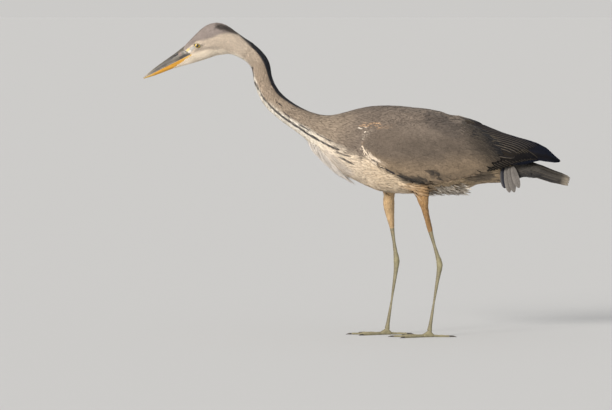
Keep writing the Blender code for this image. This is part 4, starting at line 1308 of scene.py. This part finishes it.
def eyeMaterial():  # a black pupil in a yellow iris with a fine uneven grain, under a clear wet coat
    material, tree, shader = newMaterial("eye", 0.25, Coat_Weight=1.0, Coat_Roughness=0.02,
                                         Specular_IOR_Level=0.6)
    place, whole = objectPlace(tree), 0.01  # the ramp is this long
    centred = node(tree, "Mapping", Vector=place, Location=(-eyeSpot.x, 0, -eyeSpot.z))
    flat = node(tree, "VectorMath", operation="MULTIPLY", _0=centred, _1=(1, 0, 1))
    length = node(tree, "VectorMath", operation="LENGTH", _0=flat)
    ramp = node(tree, "ValToRGB", Fac=node(tree, "MapRange", Value=length.outputs["Value"], From_Max=whole))
    pupil, iris = eyeSizes["pupil"] / whole, eyeSizes["iris"] / whole
    stops = ((0, "pupil"), (pupil, "pupil"), (pupil + 0.02, "inner"), (pupil + 0.07, "middle"),
             (iris - 0.12, "outer"), (iris - 0.03, "shade"), (iris, "ring"))
    for index, (at, tint) in enumerate(stops):
        stop = ramp.color_ramp.elements[index] if index < 2 else ramp.color_ramp.elements.new(at)
        stop.position, stop.color = at, (*irisTints[tint], 1)
    finishShader(tree, shader, ramp, noiseFactor(tree, 900, 0.8, 1.15, place))
    return material


materials["eye"] = eyeMaterial()
for side, sign in sides.items():
    bm = bmesh.new()
    bmesh.ops.create_uvsphere(bm, u_segments=64, v_segments=40, radius=eyeSizes["radius"])
    bmesh.ops.rotate(bm, verts=bm.verts, cent=(0, 0, 0), matrix=Matrix.Rotation(math.radians(90), 3, "X"))
    for vert in bm.verts:  # the cornea swells a little over the iris
        reach = min(math.hypot(vert.co.x, vert.co.z) / eyeSizes["iris"], 1)
        if vert.co.y * sign > 0:
            vert.co.y += sign * eyeSizes["cornea"] * (1 - reach * reach) ** 2
    bmesh.ops.translate(bm, verts=bm.verts, vec=(eyeSpot.x, sign * eyeSizes["centreY"], eyeSpot.z))
    finishPiece("eye" + side, meshOf("eye" + side, bm), materials["eye"], [nodeOf("eye", side)])


# ---- bill

billSizes = {  # places are shares of the way to the gape and up to the ridge, with a width and softness there
    "nostril": (((0.700, 0.74), (0.758, 0.75)), 0.001, 0.012), "nostrilDeep": 0.0008,
    "groove": (((0.34, 0.66), (0.66, 0.75)), 0.002, 0.014), "grooveFrom": (0.34, 0.60), "grooveDeep": 0.0003,
    "crease": (((0.25, -0.016), (0.85, -0.045)), 0.006, 0.014), "culmen": 0.00035, "culmenHalf": 0.0013,
}
billTints = {"slate": (0.114, 0.101, 0.080), "slateDark": (0.024, 0.024, 0.030),
             "base": (0.20, 0.125, 0.10), "paleTip": (0.40, 0.33, 0.23), "paleEdge": (0.25, 0.225, 0.21),
             "lilac": (0.40, 0.36, 0.32), "orange": (0.60, 0.30, 0.034), "orangeTip": (0.56, 0.37, 0.11),
             "creamBase": (0.63, 0.395, 0.10), "slot": (0.010, 0.009, 0.009)}
billTints = {name: np.array(colour) for name, colour in billTints.items()}
billMarks = {  # colour, share of it, points along the bill and up to its ridge, width and softness
    "stripe": ("slateDark", 0.6, ((0.12, 0.36), (0.45, 0.52), (0.62, 0.72)), 0.016, 0.030),
    "nostrilStripe": ("slateDark", 0.85, ((0.62, 0.73), (0.76, 0.75)), 0.004, 0.022),
    "nostril": ("slateDark", 1.0, ((0.702, 0.74), (0.756, 0.75)), 0.010, 0.010),
    "gapeShade": ("slateDark", 0.75, ((0.77, 0.18), (0.92, 0.20)), 0.004, 0.022),
    "lilacBase": ("lilac", 0.7, ((0.90, 0.50), (0.99, 0.42)), 0.010, 0.034),
    "redBase": ("base", 0.65, ((0.785, 0.58), (0.815, 0.58)), 0.008, 0.026),
    "slot": ("slot", 1.0, billSizes["nostril"][0], 0.001, 0.006),
}


def billHigh(t, h):  # 0 on the cutting edge and 1 on the ridge
    return h / (0.0215 * t + 0.002)


def onBill(t, high, places, width, soft):
    return stroke(t, high * 0.1, [(along, up * 0.1) for along, up in places], width, soft)


def upperColour(points):
    t, h = billPlace(points)
    high = billHigh(t, h)
    colour = mix(billTints["slate"], billTints["paleTip"], 0.85 * (1 - smoothStep(t, 0.03, 0.30)))
    edge = (1 - smoothStep(high, 0.12, 0.30)) * (1 - smoothStep(t, 0.6, 0.75))
    colour = mix(colour, billTints["paleEdge"], 0.7 * edge)
    for tint, share, *form in billMarks.values():
        colour = mix(colour, billTints[tint], share * onBill(t, high, *form))
    return colour


def lowerColour(points):
    t, h = billPlace(points)
    colour = mix(billTints["orange"], billTints["orangeTip"], 1 - smoothStep(t, 0.05, 0.3))
    colour = mix(colour, billTints["creamBase"], smoothStep(t, 0.70, 0.98))
    cheek = malarHeight(t)
    chin = (t > 0.5) * (1 - smoothStep(h, cheek - 1.8 * mm, cheek - 0.4 * mm))
    return mix(colour, tints["chin"] * 0.8, chin)


def shapeBill(bm, upper):  # the ridge, the long groove with the nostril, and a crease along the lower half
    co = np.array([v.co for v in bm.verts])
    t, h = billPlace(co)
    high = billHigh(t, h)
    if upper:
        groove = onBill(t, high, *billSizes["groove"]) * smoothStep(t, *billSizes["grooveFrom"])
        slot = onBill(t, high, *billSizes["nostril"])
        ridge = np.exp(-(co[:, 1] / billSizes["culmenHalf"]) ** 2)
        ridge = ridge * smoothStep(high, 0.6, 0.9) * smoothStep(t, 0.1, 0.5)
    else:
        groove, slot, ridge = stroke(t, h * 10, *billSizes["crease"]), 0.0, np.zeros(len(t))
    inward = slot * billSizes["nostrilDeep"] + groove * billSizes["grooveDeep"]
    for vert, pull, rise in zip(bm.verts, inward, ridge * billSizes["culmen"]):
        vert.co.y -= math.copysign(min(pull, abs(vert.co.y) * 0.5), vert.co.y)
        vert.co.z += rise


def hornMaterial(name, blotch):  # satin horn, with long blotches down to this share of its colour
    material, tree, shader = newMaterial(name, 0.44, Specular_IOR_Level=0.4)
    place = objectPlace(tree)
    slope = math.atan2(billWay.z, billWay.x)
    stretched = node(tree, "Mapping", Vector=place, Rotation=(0, slope, 0), Scale=(0.25, 1, 1))
    tone = product(tree, noiseFactor(tree, 900, 0.93, 1.07, stretched),
                   noiseFactor(tree, 260, blotch, 1.10, stretched),
                   noiseFactor(tree, 120, 0.93, 1.06, place))
    finishShader(tree, shader, node(tree, "Attribute", attribute_name="tone"), tone, tone, 0.25, 0.0002)
    return material


billHalves = (("billUpper", "bill_upper", upperColour, "bill_slate", 0.72),
              ("billLower", "bill_lower", lowerColour, "bill_yellow", 0.88))
for name, nodeName, colourOf, slotName, blotch in billHalves:
    bm = remeshed([nodeName], "bill")
    shapeBill(bm, name == "billUpper")
    bmesh.ops.recalc_face_normals(bm, faces=bm.faces)
    finishPiece(name, meshOf(name, bm, colourOf), hornMaterial(name + "Horn", blotch), [nodeName])


# ---- bare legs, feet and claws

legSizes = {"scute": 0.0052, "scuteSlant": 0.25, "scuteDeep": 0.00035, "toeScute": 0.0036,
            "toeDeep": 0.0003, "ankle": 0.0013, "ankleHalf": 0.0035, "ankleReach": 0.009,
            "upright": (0.004, 0.010), "toes": (0.009, 0.015), "hockHalf": 0.016}
jointSmoothing = {"ankle": (0.005, 25), "hock": (0.011, 40)}  # how far up and down, and rounds of smoothing
legTone = {"front": (0.20, 0.175, 0.115), "back": (0.29, 0.26, 0.165), "joint": (0.33, 0.30, 0.17),
           "seam": (0.09, 0.08, 0.05)}
legTone = {name: np.array(colour) for name, colour in legTone.items()}
toeNames = ("middle", "inner", "outer", "hind")


def seamAt(beat, soft):  # 1 on the line between two plates
    return 1 - smoothStep(np.minimum(beat, 1 - beat), *soft)


def buildLeg(side):
    nodes = [nodeOf(part, side) for part in ("shank", "tarsus", "foot")]
    nodes += [nodeOf("toe", side) + "_" + toe for toe in toeNames]
    bm = remeshed(nodes, "leg")
    shin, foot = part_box(nodeOf("tarsus", side)), middleOf(nodeOf("foot", side))
    levels = {"ankle": shin[0].z, "hock": shin[1].z}
    for joint, (reach, times) in jointSmoothing.items():
        smooth(bm, [vert for vert in bm.verts if abs(vert.co.z - levels[joint]) < reach], times)
    bm.normal_update()
    co, normals = np.array([v.co for v in bm.verts]), np.array([v.normal for v in bm.verts])
    over = co[:, 2] - levels["ankle"]
    upright = smoothStep(over, *legSizes["upright"])
    beat = np.mod((co[:, 2] + legSizes["scuteSlant"] * co[:, 0]) / legSizes["scute"], 1)
    plate = upright * smoothStep(-normals[:, 0], 0.15, 0.55)
    reach = np.linalg.norm(co[:, :2] - np.array(foot.xy), axis=1)
    toeBeat = np.mod(reach / legSizes["toeScute"], 1)
    toeTop = (1 - upright) * smoothStep(normals[:, 2], 0.1, 0.6) * smoothStep(reach, *legSizes["toes"])
    push = plate * (beat - 0.5) * legSizes["scuteDeep"] + toeTop * (0.5 - toeBeat) * legSizes["toeDeep"]
    ankle = np.exp(-(over / legSizes["ankleHalf"]) ** 2) * (reach < legSizes["ankleReach"])
    for vert, normal, out in zip(bm.verts, normals, push + legSizes["ankle"] * ankle):
        vert.co += Vector(normal) * out

    def legColour(points):
        hock = np.exp(-((points[:, 2] - levels["hock"]) / legSizes["hockHalf"]) ** 2)
        colour = mix(legTone["back"], legTone["front"], smoothStep(-normals[:, 0], 0.15, 0.55))
        colour = mix(colour, legTone["joint"], 0.6 * np.maximum(hock, (1 - upright) * 0.4))
        seam = np.maximum(plate * seamAt(beat, (0.03, 0.12)), toeTop * seamAt(toeBeat, (0.04, 0.16)))
        return mix(colour, legTone["seam"], 0.7 * seam)

    finishPiece("leg" + side, meshOf("leg" + side, bm, legColour), materials["leg"], nodes)


def scaledSkinMaterial():  # small dry scales, each a cell with a darker rim
    material, tree, shader = newMaterial("legSkin", 0.62, Specular_IOR_Level=0.4)
    place = objectPlace(tree)
    cells = node(tree, "TexVoronoi", feature="DISTANCE_TO_EDGE", Vector=place, Scale=620)
    rim = node(tree, "MapRange", Value=cells.outputs["Distance"], From_Max=0.16, To_Min=0.62)
    tone = product(tree, rim, noiseFactor(tree, 90, 0.8, 1.2, place))
    finishShader(tree, shader, node(tree, "Attribute", attribute_name="tone"), tone, rim, 0.5, 0.0003)
    return material


def clawMaterial():
    material, tree, shader = newMaterial("clawHorn", 0.35, Coat_Weight=0.2, Coat_Roughness=0.2)
    ramp = node(tree, "ValToRGB", Fac=noiseFactor(tree, 500, 0, 1, objectPlace(tree)))
    dark, light = ramp.color_ramp.elements
    dark.color, light.color = (0.02, 0.017, 0.015, 1), (0.10, 0.085, 0.07, 1)
    tree.links.new(ramp.outputs["Color"], shader.inputs["Base Color"])
    return material


materials["leg"], materials["claw"] = scaledSkinMaterial(), clawMaterial()
for side in sides:
    buildLeg(side)
    for toe in toeNames:
        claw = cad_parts[nodeOf("claw", side) + "_" + toe]
        claw.data.materials.clear()
        claw.data.materials.append(materials["claw"])


# ---- breast plumes and the feathers hanging loose under the left wing

plumeSizes = {"count": 620, "width": 0.0017, "spread": 0.018, "rootTop": (-0.079, 0.422),
              "rootEnd": (-0.028, 0.389), "tipTop": (-0.081, 0.372), "tipEnd": (-0.002, 0.332), "turn": 78,
              "sunk": 4.5 * mm, "clumps": 22, "clumped": 0.6, "bend": (-5 * mm, -4 * mm),
              "sideDrop": 12 * mm}
fluffSizes = {"count": 420, "x": (0.128, 0.228), "halfWide": 0.034, "length": (0.012, 0.026),
              "width": 0.0026, "fall": 0.0105, "down": -0.35, "thighGap": 9 * mm, "sunk": 1.5 * mm,
              "bend": 3.5 * mm}
looseSizes = {"count": 4, "width": 0.0165, "rootFirst": (0.320, 0.374), "rootLast": (0.340, 0.374),
              "tipFirst": (0.3235, 0.326), "tipLast": (0.3545, 0.327), "drop": 0.011, "apart": -2.4 * mm,
              "tint": 0.355}


def curvedPaths(roots, bends, tips, shape):  # from root to tip, leaning towards a bend between them
    t = np.array(featherShapes[shape]["along"])[None, :, None]
    return roots[:, None] * (1 - t) ** 2 + bends[:, None] * 2 * t * (1 - t) + tips[:, None] * t * t


def rowPoints(sizes, first, last, t):  # places in side view from one end of a row to the other
    return np.array(sizes[first]) + (np.array(sizes[last]) - np.array(sizes[first])) * t[:, None]


def alongAll(normals, paths):  # one direction for all of a feather's stations
    return np.repeat(normals[:, None], paths.shape[1], 1)


def buildPlumes():
    count, spread = plumeSizes["count"], plumeSizes["spread"]
    t = np.sort(rng.uniform(0, 1, count))
    side = rng.uniform(-1, 1, count)
    roots, tips = np.zeros((2, count, 3))
    higher = rng.uniform(0.35, 1, count)  # long plumes start higher up
    roots[:, [0, 2]] = rowPoints(plumeSizes, "rootTop", "rootEnd", t * higher)
    tips[:, [0, 2]] = rowPoints(plumeSizes, "tipTop", "tipEnd", t)
    roots[:, 1], tips[:, 1] = side * spread, side * spread * (1.0 - 0.6 * t)
    roots[:, 2] += np.abs(rng.normal(0, 9, count)) * mm - plumeSizes["sideDrop"] * np.abs(side) ** 1.5
    for root in roots:
        hit = cast(bodySurface, (root[0] - 0.06, root[1], root[2]), (1, 0, 0))[0]
        root[0] = (hit.x if hit else root[0]) + plumeSizes["sunk"]
    clump = np.round(t * plumeSizes["clumps"] + 0.25 * side) / plumeSizes["clumps"]
    clump = rowPoints(plumeSizes, "tipTop", "tipEnd", clump)
    tips[:, [0, 2]] += (clump - tips[:, [0, 2]]) * plumeSizes["clumped"] + rng.normal(0, 1.3, (count, 2)) * mm
    short = 1 - (1 - rng.uniform(0, 1, count) ** 1.5 * 0.5) * np.interp(t, (0, 0.3, 0.6), (0.45, 0.8, 1))
    tips = tips + (roots - tips) * short[:, None]
    bends = (roots + tips) / 2
    bends[:, 0] += plumeSizes["bend"][0] - 3 * mm * t
    bends[:, 1] = side * spread * 1.15
    bends[:, 2] += plumeSizes["bend"][1]
    paths = curvedPaths(roots, bends, tips, "plume")
    turn = np.radians(plumeSizes["turn"] * np.sign(side) * np.abs(side) ** 0.6)  # forward in the middle
    normals = alongAll(np.stack((-np.cos(turn), np.sin(turn), np.zeros(count)), 1), paths)
    tint = tints["plume"] * rng.uniform(0.7, 1.3, (count, 1))
    root = mix(tint, tints["white"] * 0.8, np.full(count, 0.5))
    buildFeathers("breastPlumes", "plume", paths, normals,
                  plumeSizes["width"] * rng.uniform(0.6, 1.2, count),
                  {"root": root, "tip": tint * 1.3, "edge": tint * 1.45},
                  np.stack((0.05 + 0.9 * t, 0.5 + 0.4 * side), 1), lift=(0, 0), camber=0.2, thick=0.12,
                  roll=rng.normal(0, 16, count), slotName="plumage_pale", replaced=["breast_plumes"])


def buildFluff():  # loose downy feathers that hang a little from the belly behind the legs
    count = fluffSizes["count"]
    roots = []
    while len(roots) < count:
        x, y = rng.uniform(*fluffSizes["x"]), rng.uniform(-1, 1) * fluffSizes["halfWide"]
        hit, normal = cast(bodySurface, (x, y, 0.2), (0, 0, 1))
        if hit is None or normal.z >= fluffSizes["down"]:
            continue
        if thighNode.find_nearest(hit, fluffSizes["thighGap"])[0] is None:
            roots.append((*hit, *normal))
    roots, downs = np.array(roots)[:, :3], np.array(roots)[:, 3:]
    roots = roots - downs * fluffSizes["sunk"]
    length = rng.uniform(*fluffSizes["length"], count)
    fall = rng.uniform(0.15, 1, count) * fluffSizes["fall"]
    tips = roots + np.stack((length, rng.normal(0, 3, count) * mm, -fall), 1)
    paths = curvedPaths(roots, (roots + tips) / 2 + downs * fluffSizes["bend"], tips, "lance")
    pale = rng.uniform(0, 1, count) ** 0.7
    tint = mix(tints["vent"] * 0.4, tints["white"] * 0.85, pale)
    places = np.stack((np.interp(roots[:, 0], fluffSizes["x"], (0.05, 0.95)), 0.5 + roots[:, 1] * 12), 1)
    buildFeathers("ventFluff", "lance", paths, unit(alongAll(downs, paths)),
                  fluffSizes["width"] * rng.uniform(0.6, 1.3, count),
                  {"root": tint * 0.8, "tip": tint, "edge": np.clip(tint * 1.15, 0, 0.9)}, places,
                  lift=(0, 0), camber=0.15, thick=0.2, roll=rng.normal(0, 22, count),
                  slotName="plumage_pale")


def buildLooseFeathers():
    count = looseSizes["count"]
    t = np.linspace(0, 1, count)
    roots, tips = np.full((2, count, 3), middleOf("loose_feathers").y)
    roots[:, [0, 2]] = rowPoints(looseSizes, "rootFirst", "rootLast", t)
    tips[:, [0, 2]] = rowPoints(looseSizes, "tipFirst", "tipLast", t)
    tips[:, 2] -= looseSizes["drop"] * np.sin(np.pi * t)
    for ends in (roots, tips):
        ends[:, 1] += (t - 0.5) * looseSizes["apart"]
    paths = curvedPaths(roots, (roots + tips) / 2 + np.array((-2 * mm, -1.5 * mm, 0)), tips, "broad")
    normals = unit(alongAll(np.tile((0.1, -1.0, 0.0), (count, 1)), paths))
    tint = tints["plume"] * looseSizes["tint"] * rng.uniform(0.9, 1.1, (count, 1))
    edge = tint * 1.3
    tint[0] = tints["blueGrey"] * 1.4  # the front one is dark
    buildFeathers("looseFeathers", "broad", paths, normals, looseSizes["width"],
                  {"root": tint * 0.8, "tip": tint * 1.1, "edge": edge},
                  np.stack((0.1 + 0.8 * t, np.full(count, 0.5)), 1), lift=(0, 0), camber=0.10, thick=0.4,
                  roll=-8.0, material="wing", replaced=["loose_feathers"])


buildPlumes()
buildFluff()
buildLooseFeathers()


# ---- floor, light and camera

lightSizes = {"key": 3.4, "keyColour": (1, 0.94, 0.86), "keyTurn": (66, 0, -40), "keyAngle": 20,
              "world": 0.60, "worldColour": (1.0, 0.985, 0.96)}
floorSizes = {"radius": 300, "sides": 96, "roughness": 0.75}
cameraSizes = {"target": (-0.11275, 0, 0.2882), "elevation": 2.5, "distance": 10.0, "lens": 267.4,
               "farthest": 2000}
stage = bpy.context.scene

keyHeight = math.cos(math.radians(lightSizes["keyTurn"][0]))
sunlit = lightSizes["key"] * keyHeight / math.pi * np.array(lightSizes["keyColour"])
skylit = lightSizes["world"] * np.array(lightSizes["worldColour"])
bm = bmesh.new()
bmesh.ops.create_circle(bm, cap_ends=True, segments=floorSizes["sides"], radius=floorSizes["radius"])
floorMesh = bpy.data.meshes.new("floor")
bm.to_mesh(floorMesh)
bm.free()
floor = bpy.data.objects.new("floor", floorMesh)
stage.collection.objects.link(floor)
floorMaterial, tree, shader = newMaterial("paleFloor", floorSizes["roughness"])
# as bright as the sky behind it
shader.inputs["Base Color"].default_value = (*(skylit / (sunlit + skylit)), 1)
floorMesh.materials.append(floorMaterial)

sun = bpy.data.lights.new("key", "SUN")
sun.energy, sun.color = lightSizes["key"], lightSizes["keyColour"]
sun.angle = math.radians(lightSizes["keyAngle"])
key = bpy.data.objects.new("key", sun)
key.rotation_euler = [math.radians(angle) for angle in lightSizes["keyTurn"]]
stage.collection.objects.link(key)
stage.world = bpy.data.worlds.new("studio")
stage.world.use_nodes = True
background = stage.world.node_tree.nodes["Background"]
background.inputs["Color"].default_value = (*lightSizes["worldColour"], 1)
background.inputs["Strength"].default_value = lightSizes["world"]
stage.view_settings.view_transform = "Standard"

camera = bpy.data.objects.new("camera", bpy.data.cameras.new("camera"))
camera.data.lens, camera.data.clip_end = cameraSizes["lens"], cameraSizes["farthest"]
tilt = math.radians(cameraSizes["elevation"])
away = Vector((0, -math.cos(tilt), math.sin(tilt)))
camera.location = Vector(cameraSizes["target"]) + away * cameraSizes["distance"]
camera.rotation_euler = (math.radians(90) - tilt, 0, 0)
stage.collection.objects.link(camera)
stage.camera = camera
print("floor, light and camera ready")
